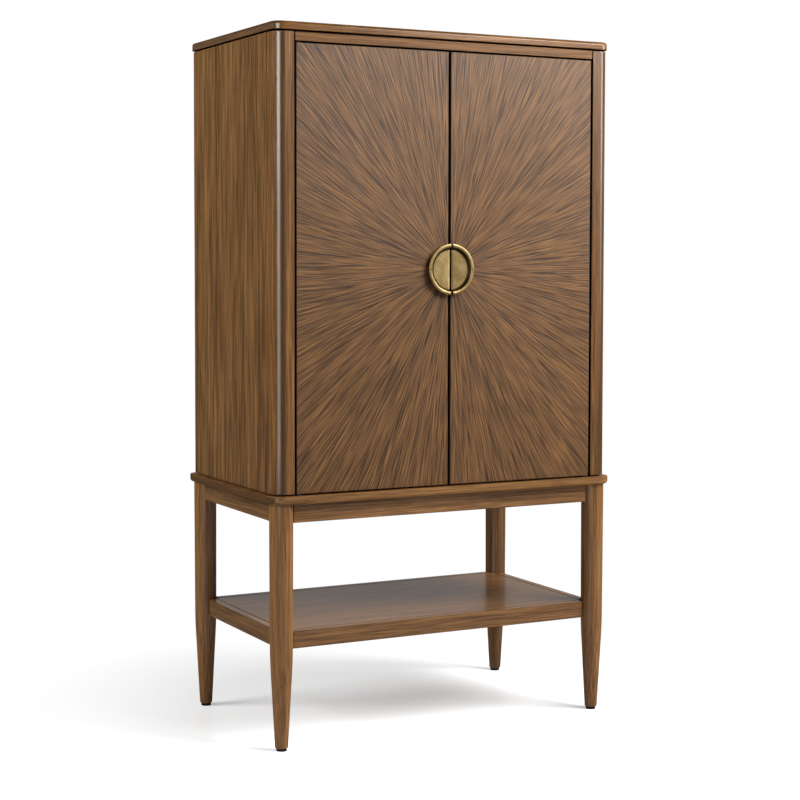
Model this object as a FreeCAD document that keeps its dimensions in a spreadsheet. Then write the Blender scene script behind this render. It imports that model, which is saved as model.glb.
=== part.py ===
import FreeCAD, Part
import math
import os
import re

import Sketcher

# Two-door cabinet on an open stand. Millimetres, +Z up, front towards -Y, origin on the floor at the middle.

driving_sizes = {
    # Carcase outside
    "overall_height": 1650,
    "carcase_width": 892,
    "carcase_depth": 520,
    "corner_radius": 24,
    "shadow_gap": 3.6,
    "top_thickness": 19,
    "top_overhang": 2.4,
    "top_edge_round": 7,
    "top_lower_round": 1.5,
    # Corner posts and side panels
    "post_width": 48,
    "post_depth": 40,
    "panel_thickness": 20,
    "seam_bevel": 1.5,
    "tongue_length": 8,
    "tongue_thickness": 8,
    "groove_slack": 0.5,
    # Carcase boards, front rail and back
    "board_thickness": 20,
    "rail_height": 20.4,
    "rail_depth": 20,
    "rail_gap": 2.6,
    "tenon_length": 12,
    "tenon_height": 12,
    "tenon_thickness": 8,
    "back_thickness": 6,
    "back_setback": 2,
    "back_rebate": 12,
    "back_margin": 4,
    # Loose shelves inside
    "shelf_thickness": 18,
    "shelf_side_gap": 1.5,
    "shelf_end_gap": 4,
    "lower_shelf_height": 330,
    "upper_shelf_height": 665,
    "shelf_pin_radius": 3,
    "shelf_pin_length": 20,
    "shelf_pin_seat": 10,
    "shelf_pin_inset": 60,
    "shelf_pin_pitch": 32,
    # Doors
    "door_thickness": 20,
    "door_setback": 1,
    "door_side_gap": 5.4,
    "door_centre_gap": 7.2,
    "door_top_gap": 4,
    "door_bottom_gap": 4,
    "door_swing_gap": 3,
    # Pivot hinges
    "pivot_inset": 8,
    "pivot_setback": 6,
    "pivot_radius": 3,
    "pivot_depth": 12,
    "pivot_running_gap": 0.05,
    "pivot_plate_length": 38,
    "pivot_plate_width": 10,
    "pivot_plate_thickness": 2.5,
    "pivot_plate_tail": 7,
    "bush_radius": 4.6,
    "bush_end_gap": 2,
    "washer_radius": 7,
    # Pull halves
    "pull_radius": 60,
    "pull_projection": 13,
    "pull_gap": 4.6,
    "neck_radius": 51,
    "undercut_height": 6.6,
    "rim_flare": 1.4,
    "rim_inner_radius": 52,
    "dish_radius": 46,
    "dish_height": 5.5,
    "rim_outer_round": 3.4,
    "rim_inner_round": 2.2,
    "rim_lip_round": 0.9,
    "pull_screw_reach": 31,
    "pull_screw_bite": 4,
    # Magnetic catches and door bumpers
    "catch_length": 46,
    "catch_body_length": 26,
    "catch_depth": 14,
    "catch_height": 15,
    "catch_ear_thickness": 4,
    "catch_offset": 8,
    "strike_height": 12,
    "strike_thickness": 1.5,
    "strike_top_margin": 1,
    "strike_pin_radius": 1.5,
    "strike_pin_length": 8,
    "contact_gap": 0.2,
    "bumper_radius": 4,
    "bumper_offset": 45,
    # Tray on top of the stand
    "tray_overhang": 12,
    "tray_thickness": 19,
    "tray_top_round": 1.5,
    "tray_lower_round": 8,
    # Legs and glides
    "leg_height": 566,
    "leg_inset": 37,
    "leg_top_radius": 27.5,
    "leg_knee_radius": 26.3,
    "leg_foot_radius": 15.2,
    "leg_knee_height": 216,
    "leg_knee_round": 1200,
    "leg_foot_round": 3,
    "glide_radius": 12,
    "glide_height": 6,
    "glide_pin_radius": 2.5,
    "glide_pin_length": 16,
    # Aprons under the tray
    "apron_height": 44,
    "apron_thickness": 20,
    "apron_offset": 11.5,
    "apron_end": 15,
    "apron_dowel_drop": 33,
    # Low shelf between the legs
    "low_shelf_top": 272,
    "shelf_rail_height": 40,
    "shelf_rail_thickness": 20,
    "shelf_rail_offset": 2.6,
    "shelf_rail_end": 18,
    "shelf_rail_dowel_high": 28,
    "shelf_rail_dowel_low": 12,
    "low_panel_thickness": 18,
    "low_panel_gap": 3,
    "low_panel_leg_gap": 1.5,
    "cleat_size": 16,
    "cleat_end_gap": 20,
    # Corner blocks and leg bolts
    "block_reach": 36,
    "block_width": 28,
    "block_height": 36,
    "block_screw_spread": 36,
    "bolt_radius": 3,
    "bolt_start": 6,
    "bolt_end": 62,
    "bolt_drop": 17,
    "bolt_washer_radius": 7,
    "bolt_washer_thickness": 1.6,
    "bolt_nut_radius": 5.7,
    "bolt_nut_height": 5,
    # Dowels and screws
    "dowel_radius": 4,
    "dowel_length": 26,
    "dowel_seat": 12,
    "dowel_spacing": 160,
    "screw_radius": 2,
    "screw_head_radius": 4,
    "screw_head_height": 2.2,
    "small_screw_radius": 1.5,
    "small_screw_head_radius": 2.8,
    "small_screw_head_height": 1.4,
    "fit_gap": 0.05,
    "board_screw_length": 32,
    "board_screw_spread_x": 300,
    "board_screw_spread_y": 150,
    "block_screw_length": 48,
    "back_screw_length": 18,
    "back_screw_edge": 6,
    "plate_screw_length": 14,
    "plate_screw_first": 12,
    "plate_screw_pitch": 12,
    "catch_screw_length": 14,
}

derived_sizes = {
    "half_width": "carcase_width / 2",
    "half_depth": "carcase_depth / 2",
    "tray_top": "leg_height + tray_thickness",
    "side_bottom": "tray_top + shadow_gap",
    "slab_bottom": "overall_height - top_thickness",
    "side_top": "slab_bottom - shadow_gap",
    "opening_half": "half_width - post_width",
    "inner_half": "half_width - panel_thickness",
    "post_inner": "half_depth - post_depth",
    "rail_bottom": "side_top - rail_height",
    "rail_back": "-half_depth + rail_depth",
    "floor_top": "tray_top + board_thickness",
    "ceiling": "slab_bottom - board_thickness",
    "back_front": "half_depth - back_setback - back_thickness",
    "back_half": "opening_half + back_rebate",
    "door_front": "-half_depth + door_setback",
    "door_back": "door_front + door_thickness",
    "door_outer": "opening_half - door_side_gap",
    "door_bottom": "tray_top + door_bottom_gap",
    "door_top": "rail_bottom - door_top_gap",
    "bay_front": "door_back + door_swing_gap",
    "pivot_x": "door_outer - pivot_inset",
    "pivot_y": "door_front + pivot_setback",
    "pull_height": "(door_bottom + door_top) / 2",
    "leg_x": "half_width + tray_overhang - leg_inset",
    "leg_y": "half_depth + tray_overhang - leg_inset",
    "apron_bottom": "leg_height - apron_height",
    "apron_back": "apron_thickness - apron_offset",
    "low_rail_bottom": "low_shelf_top - shelf_rail_height",
    "low_panel_bottom": "low_shelf_top - low_panel_thickness",
    "low_rail_back": "shelf_rail_thickness - shelf_rail_offset",
    "bolt_height": "leg_height - bolt_drop",
    "block_front": "(block_reach + apron_back) / sqrt(2)",
    "block_back": "(block_reach + block_width + apron_back) / sqrt(2)",
}

document = FreeCAD.newDocument("display_cabinet")
sheet = document.addObject("Spreadsheet::Sheet", "sizes")
aliases = set(driving_sizes) | set(derived_sizes)
word = re.compile(r"[a-z][a-z_]*[a-z]")
nodes = []

sides = (("left", -1), ("right", 1))
ends = (("front", -1), ("back", 1))
up = (0, 0, 1)
down = (0, 0, -1)
forward = (0, -1, 0)


def fill_sheet():
    rows = list(driving_sizes.items())
    rows += [(name, "=" + formula) for name, formula in derived_sizes.items()]
    for row, (name, content) in enumerate(rows, start=1):
        sheet.set(f"A{row}", name)
        sheet.set(f"B{row}", str(content))
        sheet.setAlias(f"B{row}", name)
    document.recompute()


def size(name):
    return float(sheet.get(name))


# A formula names cells of the sheet; each name is given the sheet it belongs to.
def on_sheet(formula):
    return word.sub(lambda found: f"sizes.{found[0]}" if found[0] in aliases else found[0], str(formula))


def bind(target, prop, formula):
    target.setExpression(prop, on_sheet(formula))


def place(target, position, direction=up):
    turn = FreeCAD.Rotation(FreeCAD.Vector(*up), FreeCAD.Vector(*direction))
    target.Placement = FreeCAD.Placement(FreeCAD.Vector(), turn)
    for axis, formula in zip("xyz", position):
        bind(target, f"Placement.Base.{axis}", formula)


def node(label, part):
    part.Label = label
    nodes.append(part)
    return part


# A stretch between two distances from the middle plane, on the side that sign gives.
def on_side(sign, near, far):
    if sign > 0:
        return (near, far)
    return (f"-({far})", f"-({near})")


def box(name, *spans):
    part = document.addObject("Part::Box", name)
    for prop, (low, high) in zip(("Length", "Width", "Height"), spans):
        bind(part, prop, f"({high}) - ({low})")
    place(part, [low for low, high in spans])
    return part


def cylinder(name, position, radius, length, direction=up):
    part = document.addObject("Part::Cylinder", name)
    bind(part, "Radius", radius)
    bind(part, "Height", length)
    place(part, position, direction)
    return part


def group(name, members):
    part = document.addObject("Part::Compound", name)
    part.Links = members
    return part


def fuse(name, *members):
    part = document.addObject("Part::MultiFuse", name)
    part.Shapes = members
    return part


def cut(name, base, tools):
    part = base
    for number, tool in enumerate(tools, start=1):
        remaining = document.addObject("Part::Cut", f"{name}_cut_{number}")
        remaining.Base = part
        remaining.Tool = tool
        part = remaining
    return part


# Round bars of one size at several places, each given as a position and a direction.
def bars(name, places, radius, length):
    return group(name, [
        cylinder(f"{name}_{number}", position, radius, length, direction)
        for number, (position, direction) in enumerate(places, start=1)
    ])


def copies(name, model, places):
    links = []
    for number, (position, direction) in enumerate(places, start=1):
        link = document.addObject("App::Link", f"{name}_{number}")
        link.LinkedObject = model
        place(link, position, direction)
        links.append(link)
    return group(name, links)


# Countersunk screws with the outside of the head at each place, and the holes that they fill.
def screws(label, places, length, gauge="screw"):
    def model(name, extra):
        shank = cylinder(f"{name}_shank", (0, 0, 0), f"{gauge}_radius + {extra}", length)
        head = document.addObject("Part::Cone", f"{name}_head")
        bind(head, "Radius1", f"{gauge}_head_radius + {extra}")
        bind(head, "Radius2", f"{gauge}_radius + {extra}")
        bind(head, "Height", f"{gauge}_head_height")
        return fuse(name, shank, head)
    solids = copies(f"{label}_set", model(f"{label}_model", "0"), places)
    holes = copies(f"{label}_holes", model(f"{label}_hole_model", "fit_gap"), places)
    node(label, solids)
    return holes


def new_body(name):
    return document.addObject("PartDesign::Body", name)


def new_sketch(body, name, role):
    sketch = body.newObject("Sketcher::SketchObject", name)
    plane = next(feature for feature in body.Origin.OriginFeatures if feature.Role == role)
    sketch.AttachmentSupport = [(plane, "")]
    sketch.MapMode = "FlatFace"
    return sketch


# Sets a point of a sketch out from the origin by two formulas, where 0 puts it on the axis itself.
def fix_point(sketch, geometry, end, point):
    drawn = sketch.getPoint(geometry, end)
    for kind, formula, axis, distance in zip(("DistanceX", "DistanceY"), point, (-2, -1), drawn):
        if formula == 0:
            sketch.addConstraint(Sketcher.Constraint("PointOnObject", geometry, end, axis))
        else:
            number = sketch.addConstraint(Sketcher.Constraint(kind, -1, 1, geometry, end, distance))
            bind(sketch, f"Constraints[{number}]", formula)


# A closed outline of straight lines, drawn as a regular polygon whose corners are then set out by formulas.
def outline(body, name, role, points):
    sketch = new_sketch(body, name, role)
    count = len(points)
    step = FreeCAD.Rotation(FreeCAD.Vector(*up), 360 / count)
    spoke = FreeCAD.Vector(size("corner_radius"), 0, 0)
    middle = FreeCAD.Vector(2 * size("corner_radius"), 2 * size("corner_radius"), 0)
    for _ in points:
        following = step.multVec(spoke)
        sketch.addGeometry(Part.LineSegment(middle + spoke, middle + following), False)
        spoke = following
    for index, point in enumerate(points):
        sketch.addConstraint(Sketcher.Constraint("Coincident", index, 2, (index + 1) % count, 1))
        fix_point(sketch, index, 1, point)
    return sketch


def pad(body, sketch, length):
    feature = body.newObject("PartDesign::Pad", f"{body.Name}_pad")
    feature.Profile = sketch
    bind(feature, "Length", length)


def revolve(body, sketch):
    feature = body.newObject("PartDesign::Revolution", f"{body.Name}_turning")
    feature.Profile = sketch
    feature.ReferenceAxis = (sketch, ["V_Axis"])
    feature.Angle = 360


def near(first, second):
    return abs(first - second) < size("fit_gap")


# Rounds the edges of the body's last feature that the test picks.
def round_edges(body, radius, test):
    document.recompute()
    base = body.Tip
    picked = [f"Edge{number}" for number, edge in enumerate(base.Shape.Edges, start=1) if test(edge)]
    feature = body.newObject("PartDesign::Fillet", f"{body.Name}_round")
    feature.Base = (base, picked)
    bind(feature, "Radius", radius)


def is_upright(edge):
    return not near(edge.Vertexes[0].Z, edge.Vertexes[-1].Z)


def at_height(height):
    return lambda edge: all(near(vertex.Z, height) for vertex in edge.Vertexes)


def ring_at(radius, height):
    def test(edge):
        round_edge = isinstance(edge.Curve, Part.Circle) and near(edge.Curve.Radius, radius)
        return round_edge and near(edge.Vertexes[0].Z, height)
    return test


def rectangle(length, width):
    return [(0, 0), (length, 0), (length, width), (0, width)]


# A board with four rounded corners, lying flat.
def rounded_board(name, length, width, thickness, radius, position):
    body = new_body(name)
    pad(body, outline(body, f"{name}_outline", "XY_Plane", rectangle(length, width)), thickness)
    round_edges(body, radius, is_upright)
    place(body, position)
    return body


# Top board of the cabinet, screwed up from the board under it.
def make_top_panel(screw_holes):
    low_corner = ("-(half_width + top_overhang)", "-(half_depth + top_overhang)", "slab_bottom")
    body = rounded_board("top_panel_board", "carcase_width + 2 * top_overhang",
                         "carcase_depth + 2 * top_overhang", "top_thickness",
                         "corner_radius + top_overhang", low_corner)
    round_edges(body, "top_edge_round", at_height(size("top_thickness")))
    round_edges(body, "top_lower_round", at_height(0))
    node("top_panel", cut("top_panel", body, [screw_holes]))


# Corner posts with a round outer corner, a groove for the side panel and, at the back, a rebate.
def make_posts(back_screw_holes):
    for end, end_sign in ends:
        for side, side_sign in sides:
            name = f"post_{end}_{side}"
            x_span = on_side(side_sign, "opening_half", "half_width")
            y_span = on_side(end_sign, "post_inner", "half_depth")
            body = new_body(f"{name}_blank")
            section = outline(body, f"{name}_section", "XY_Plane", rectangle("post_width", "post_depth"))
            pad(body, section, "side_top - side_bottom")
            outer_x = size("post_width") if side_sign > 0 else 0
            outer_y = size("post_depth") if end_sign > 0 else 0

            def is_outer_corner(edge):
                vertex = edge.Vertexes[0]
                return is_upright(edge) and near(vertex.X, outer_x) and near(vertex.Y, outer_y)

            round_edges(body, "corner_radius", is_outer_corner)
            place(body, (x_span[0], y_span[0], "side_bottom"))
            groove = box(
                f"{name}_groove",
                on_side(side_sign, "half_width - (panel_thickness + tongue_thickness) / 2",
                        "half_width - (panel_thickness - tongue_thickness) / 2"),
                on_side(end_sign, "post_inner", "post_inner + tongue_length + groove_slack"),
                ("side_bottom", "side_top"),
            )
            tools = [groove]
            if end == "front":
                tools.append(tenon_box(f"{name}_mortise", "groove_slack"))
            else:
                tools.append(box(
                    f"{name}_rebate",
                    on_side(side_sign, "opening_half", "back_half"),
                    ("back_front", "half_depth"),
                    ("side_bottom", "side_top"),
                ))
                tools.append(back_screw_holes)
            node(name, cut(name, body, tools))


# The tenons at both ends of the front rail, as one bar; end_slack lengthens it for the mortises.
def tenon_box(name, end_slack):
    reach = f"opening_half + tenon_length + {end_slack}"
    middle_y = "(rail_back - half_depth) / 2"
    middle_z = "(rail_bottom + side_top) / 2"
    return box(
        name,
        (f"-({reach})", reach),
        (f"{middle_y} - tenon_thickness / 2", f"{middle_y} + tenon_thickness / 2"),
        (f"{middle_z} - tenon_height / 2", f"{middle_z} + tenon_height / 2"),
    )


# Rail above the doors, with a narrow gap to each post.
def make_top_rail(tools):
    bar = box(
        "top_rail_bar",
        ("-(opening_half - rail_gap)", "opening_half - rail_gap"),
        ("-half_depth", "rail_back"),
        ("rail_bottom", "side_top"),
    )
    rail = fuse("top_rail_blank", bar, tenon_box("top_rail_tenons", "0"))
    node("top_rail", cut("top_rail", rail, tools))


# Side panels with a tongue along each upright edge and a bevelled seam beside each post.
def make_side_panels(dowel_holes, pin_holes):
    depth = "(2 * (post_inner + tongue_length))"
    inset = "((panel_thickness - tongue_thickness) / 2)"
    for side, sign in sides:
        name = f"side_panel_{side}"
        outer_first = [
            ("seam_bevel", "tongue_length"),
            (0, "tongue_length + seam_bevel"),
            (0, f"{depth} - tongue_length - seam_bevel"),
            ("seam_bevel", f"{depth} - tongue_length"),
            (inset, f"{depth} - tongue_length"),
            (inset, depth),
            (f"panel_thickness - {inset}", depth),
            (f"panel_thickness - {inset}", f"{depth} - tongue_length"),
            ("panel_thickness", f"{depth} - tongue_length"),
            ("panel_thickness", "tongue_length"),
            (f"panel_thickness - {inset}", "tongue_length"),
            (f"panel_thickness - {inset}", 0),
            (inset, 0),
            (inset, "tongue_length"),
        ]
        if sign > 0:
            section = [
                (0 if across == "panel_thickness" else f"panel_thickness - ({across})", along)
                for across, along in outer_first
            ]
        else:
            section = outer_first
        body = new_body(f"{name}_blank")
        pad(body, outline(body, f"{name}_section", "XY_Plane", section), "side_top - side_bottom")
        x_span = on_side(sign, "inner_half", "half_width")
        place(body, (x_span[0], "-(post_inner + tongue_length)", "side_bottom"))
        node(name, cut(name, body, [dowel_holes, pin_holes]))


# Floor and ceiling boards of the carcase, notched around the posts.
def make_carcase_boards(bottom_tools, top_tools):
    for name, front, z_span, tools in (
        ("carcase_bottom", "bay_front", ("tray_top", "floor_top"), bottom_tools),
        ("carcase_top", "rail_back", ("ceiling", "slab_bottom"), top_tools),
    ):
        board = box(f"{name}_board", ("-inner_half", "inner_half"), (front, "back_front"), z_span)
        notches = [
            box(
                f"{name}_notch_{end}_{side}",
                on_side(side_sign, "opening_half", "half_width"),
                on_side(end_sign, "post_inner", "half_depth"),
                z_span,
            )
            for end, end_sign in ends
            for side, side_sign in sides
        ]
        node(name, cut(name, board, notches + tools))


def make_back_panel(screw_holes):
    panel = box(
        "back_panel_board",
        ("-back_half", "back_half"),
        ("back_front", "back_front + back_thickness"),
        ("side_bottom + back_margin", "side_top - back_margin"),
    )
    node("back_panel", cut("back_panel", panel, [screw_holes]))


# Screws around the back panel: into both boards, and into the back posts.
def make_back_screws():
    face = "back_front + back_thickness"
    row_count = 5
    column_count = 4
    places = []
    for height in ("floor_top - board_thickness / 2", "ceiling + board_thickness / 2"):
        for index in range(row_count):
            share = 2 * index / (row_count - 1) - 1
            places.append(((f"{share} * (opening_half - board_thickness)", face, height), forward))
    for side, sign in sides:
        for index in range(column_count):
            share = (index + 1) / (column_count + 1)
            height = f"floor_top + {share} * (ceiling - floor_top)"
            places.append(((f"{sign} * (back_half - back_screw_edge)", face, height), forward))
    return screws("back_panel_screws", places, "back_screw_length")


# Dowels that tie the side panels to the floor and ceiling boards.
def make_carcase_dowels():
    places = []
    for height in ("floor_top - board_thickness / 2", "ceiling + board_thickness / 2"):
        for step in (-1, 0, 1):
            for side, sign in sides:
                start = f"{sign} * (inner_half + dowel_seat)"
                places.append(((start, f"{step} * dowel_spacing", height), (-sign, 0, 0)))
    node("carcase_dowels", bars("carcase_dowel_set", places, "dowel_radius", "dowel_length"))
    return bars("carcase_dowel_holes", places, "dowel_radius + fit_gap", "dowel_length")


# Loose shelves on pins, with a row of spare holes above and below each pin.
def make_inner_shelves():
    pins = []
    holes = []
    spare_holes = (-2, -1, 0, 1, 2)
    for name in ("lower", "upper"):
        bottom = f"(floor_top + {name}_shelf_height)"
        node(f"{name}_shelf", box(
            f"{name}_shelf_board",
            ("-(inner_half - shelf_side_gap)", "inner_half - shelf_side_gap"),
            ("-(post_inner - shelf_end_gap)", "post_inner - shelf_end_gap"),
            (bottom, f"{bottom} + shelf_thickness"),
        ))
        for side, sign in sides:
            for end, end_sign in ends:
                start = f"{sign} * (inner_half + shelf_pin_seat)"
                along = f"{end_sign} * (post_inner - shelf_pin_inset)"
                for step in spare_holes:
                    height = f"{bottom} - shelf_pin_radius + {step} * shelf_pin_pitch"
                    spot = ((start, along, height), (-sign, 0, 0))
                    holes.append(spot)
                    if step == 0:
                        pins.append(spot)
    node("shelf_pins", bars("shelf_pin_set", pins, "shelf_pin_radius", "shelf_pin_length"))
    return bars("shelf_pin_holes", holes, "shelf_pin_radius + fit_gap", "shelf_pin_seat")


# Levels of the pivots on the cabinet and on the door, and the way from the door into the cabinet.
def pivot_levels():
    return (
        ("top", "rail_bottom", "door_top", 1),
        ("bottom", "tray_top", "door_bottom", -1),
    )


def plate_span(sign):
    return on_side(sign, "pivot_x + pivot_plate_tail - pivot_plate_length", "pivot_x + pivot_plate_tail")


# Stretch in Z that starts at a level and goes into the cabinet (way 1 up, way -1 down).
def from_level(level, way, depth):
    return (level, f"{level} + {depth}") if way > 0 else (f"{level} - ({depth})", level)


def pivot_plate(name, sign, level, way):
    width = ("pivot_y - pivot_plate_width / 2", "pivot_y + pivot_plate_width / 2")
    return box(name, plate_span(sign), width, from_level(level, way, "pivot_plate_thickness"))


# The four pivots: a plate with a pin on the cabinet, and a plate with a bush on the door edge facing it.
def make_pivots():
    recesses = {}
    door_recesses = {}
    fixed_places = []
    washers = []
    for side, sign in sides:
        pins = []
        sockets = []
        door_places = []
        for end, cabinet_level, door_level, way in pivot_levels():
            name = f"{side}_{end}_pivot"
            axis = (f"{sign} * pivot_x", "pivot_y")
            recess = pivot_plate(f"{name}_recess", sign, cabinet_level, way)
            recesses.setdefault(end, []).append(recess)
            inward = down if way > 0 else up
            pin = cylinder(f"{name}_pin", (*axis, cabinet_level), "pivot_radius",
                           f"door_{end}_gap + pivot_depth", inward)
            pins.append(fuse(f"{name}_fixed", pivot_plate(f"{name}_plate", sign, cabinet_level, way), pin))
            door_plate = pivot_plate(f"{name}_door_plate", sign, door_level, -way)
            bush_length = "pivot_depth + bush_end_gap"
            bush = cylinder(f"{name}_bush", (*axis, door_level), "bush_radius", bush_length, inward)
            bore = cylinder(f"{name}_bore", (*axis, door_level), "pivot_radius + pivot_running_gap",
                            bush_length, inward)
            socket_blank = fuse(f"{name}_socket_blank", door_plate, bush)
            sockets.append(cut(f"{name}_socket", socket_blank, [bore]))
            door_recesses.setdefault(side, []).append(socket_blank)
            for step in (0, 1):
                along = f"{sign} * (pivot_x - plate_screw_first - {step} * plate_screw_pitch)"
                fixed_places.append(((along, "pivot_y", cabinet_level), up if way > 0 else down))
                door_places.append(((along, "pivot_y", door_level), inward))
        ring_bottom = "tray_top + fit_gap"
        ring_height = "door_bottom_gap - 2 * fit_gap"
        ring = cylinder(f"{side}_washer_disc", (*axis, ring_bottom), "washer_radius", ring_height)
        hole = cylinder(f"{side}_washer_hole", (*axis, ring_bottom), "pivot_radius + fit_gap", ring_height)
        washers.append(cut(f"{side}_washer", ring, [hole]))
        door_holes = screws(f"{side}_socket_screws", door_places, "plate_screw_length", "small_screw")
        socket_pair = group(f"{side}_socket_pair", sockets)
        node(f"{side}_pivot_sockets", cut(f"{side}_sockets", socket_pair, [door_holes]))
        door_recesses[side].append(door_holes)
        recesses[f"{side}_pins"] = group(f"{side}_pivot_pair", pins)
    fixed_holes = screws("pivot_plate_screws", fixed_places, "plate_screw_length", "small_screw")
    for side, sign in sides:
        node(f"{side}_pivot_plates", cut(f"{side}_plates", recesses[f"{side}_pins"], [fixed_holes]))
    node("pivot_washers", group("pivot_washer_pair", washers))
    return recesses["top"] + [fixed_holes], recesses["bottom"] + [fixed_holes], door_recesses


# Half of a dished round pull on each door, turned about the middle of the doors and cut at the gap.
def make_pulls():
    door_holes = {}
    for side, sign in sides:
        name = f"{side}_pull"
        body = new_body(f"{name}_turned")
        profile = outline(body, f"{name}_profile", "XZ_Plane", [
            (0, 0),
            ("neck_radius", 0),
            ("neck_radius", "undercut_height"),
            ("pull_radius", "undercut_height + rim_flare"),
            ("pull_radius", "pull_projection"),
            ("rim_inner_radius", "pull_projection"),
            ("dish_radius", "dish_height"),
            (0, "dish_height"),
        ])
        revolve(body, profile)
        crest = size("pull_projection")
        lip = size("undercut_height") + size("rim_flare")
        round_edges(body, "rim_outer_round", ring_at(size("pull_radius"), crest))
        round_edges(body, "rim_inner_round", ring_at(size("rim_inner_radius"), crest))
        round_edges(body, "rim_lip_round", ring_at(size("pull_radius"), lip))
        place(body, (0, "door_front", "pull_height"), forward)
        other_half = box(
            f"{name}_other_half",
            on_side(-sign, "-pull_gap / 2", "2 * pull_radius"),
            ("door_front - 2 * pull_projection", "door_front"),
            ("pull_height - 2 * pull_radius", "pull_height + 2 * pull_radius"),
        )
        places = [
            ((f"{sign} * pull_screw_reach", "door_back", f"pull_height + {step} * pull_screw_reach"), forward)
            for step in (-1, 1)
        ]
        door_holes[side] = screws(f"{side}_pull_screws", places, "door_thickness + pull_screw_bite")
        node(name, cut(name, body, [other_half, door_holes[side]]))
    return door_holes


# Magnetic catches under the ceiling board, with a strike plate on the back of each door.
def make_catches():
    catches = []
    screw_places = []
    strike_holes = {}
    face = "(door_back + strike_thickness + contact_gap)"
    depth = (face, f"{face} + catch_depth")
    for side, sign in sides:
        ear_inset = "(catch_length - catch_body_length) / 2"
        ears = box(f"{side}_catch_ears", on_side(sign, "catch_offset", "catch_offset + catch_length"), depth,
                   ("ceiling - catch_ear_thickness", "ceiling"))
        magnet_case = box(
            f"{side}_catch_case",
            on_side(sign, f"catch_offset + {ear_inset}", f"catch_offset + {ear_inset} + catch_body_length"),
            depth,
            ("ceiling - catch_height", "ceiling"),
        )
        catches.append(fuse(f"{side}_catch", ears, magnet_case))
        for along in (f"catch_offset + {ear_inset} / 2", f"catch_offset + catch_length - {ear_inset} / 2"):
            spot = (f"{sign} * ({along})", f"{face} + catch_depth / 2", "ceiling - catch_ear_thickness")
            screw_places.append((spot, up))
        strike_top = "(door_top - strike_top_margin)"
        plate = box(
            f"{side}_strike_face",
            on_side(sign, f"catch_offset + {ear_inset}", f"catch_offset + {ear_inset} + catch_body_length"),
            ("door_back", "door_back + strike_thickness"),
            (f"{strike_top} - strike_height", strike_top),
        )
        pin_height = f"{strike_top} - strike_height / 2"
        pin_spot = (f"{sign} * (catch_offset + catch_length / 2)", "door_back", pin_height)
        pin = cylinder(f"{side}_strike_pin", pin_spot, "strike_pin_radius", "strike_pin_length", forward)
        node(f"{side}_strike_plate", fuse(f"{side}_strike", plate, pin))
        strike_holes[side] = cylinder(f"{side}_strike_hole", pin_spot, "strike_pin_radius + fit_gap",
                                      "strike_pin_length", forward)
    holes = screws("catch_screws", screw_places, "catch_screw_length", "small_screw")
    node("door_catches", cut("door_catches", group("catch_pair", catches), [holes]))
    return holes, strike_holes


# Soft stops on the front edge of the floor board.
def make_bumpers():
    places = [
        ((f"{sign} * bumper_offset", "bay_front", "floor_top - board_thickness / 2"), forward)
        for side, sign in sides
    ]
    node("door_bumpers", bars("bumper_set", places, "bumper_radius", "door_swing_gap - contact_gap"))


def make_doors(tools):
    for side, sign in sides:
        name = f"{side}_door"
        board = box(
            f"{name}_board",
            on_side(sign, "door_centre_gap / 2", "door_outer"),
            ("door_front", "door_back"),
            ("door_bottom", "door_top"),
        )
        node(name, cut(name, board, tools[side]))


# Tray between the stand and the carcase: a crisp upper edge and a round lower one.
def make_tray(tools):
    low_corner = ("-half_width - tray_overhang", "-half_depth - tray_overhang", "leg_height")
    body = rounded_board("base_tray_board", "carcase_width + 2 * tray_overhang",
                         "carcase_depth + 2 * tray_overhang", "tray_thickness",
                         "corner_radius + tray_overhang", low_corner)
    round_edges(body, "tray_top_round", at_height(size("tray_thickness")))
    round_edges(body, "tray_lower_round", at_height(0))
    node("base_tray", cut("base_tray", body, tools))


# A frame of four rails between the legs; returns the plain bars for the seats in the legs.
def rail_frame(name, offset, back, end, z_span):
    frame = {}
    for end_name, sign in ends:
        across = (f"-(leg_x - {end})", f"leg_x - {end}")
        frame[end_name] = box(f"{name}_{end_name}_bar", across,
                              on_side(sign, f"leg_y - {back}", f"leg_y + {offset}"), z_span)
    for side, sign in sides:
        along = (f"-(leg_y - {end})", f"leg_y - {end}")
        frame[side] = box(f"{name}_{side}_bar", on_side(sign, f"leg_x - {back}", f"leg_x + {offset}"),
                          along, z_span)
    return frame


# Places of the dowels that join a rail frame to the legs.
def frame_dowels(back, offset, end, front_height, side_height):
    places = []
    middle = f"({offset} - {back}) / 2"
    for end_name, end_sign in ends:
        for side, side_sign in sides:
            inner_end = f"{end} - dowel_seat"
            front_x = f"{side_sign} * (leg_x - ({inner_end}))"
            front_y = f"{end_sign} * (leg_y + {middle})"
            side_x = f"{side_sign} * (leg_x + {middle})"
            side_y = f"{end_sign} * (leg_y - ({inner_end}))"
            places.append(((front_x, front_y, front_height), (-side_sign, 0, 0)))
            places.append(((side_x, side_y, side_height), (0, -end_sign, 0)))
    return places


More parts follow.
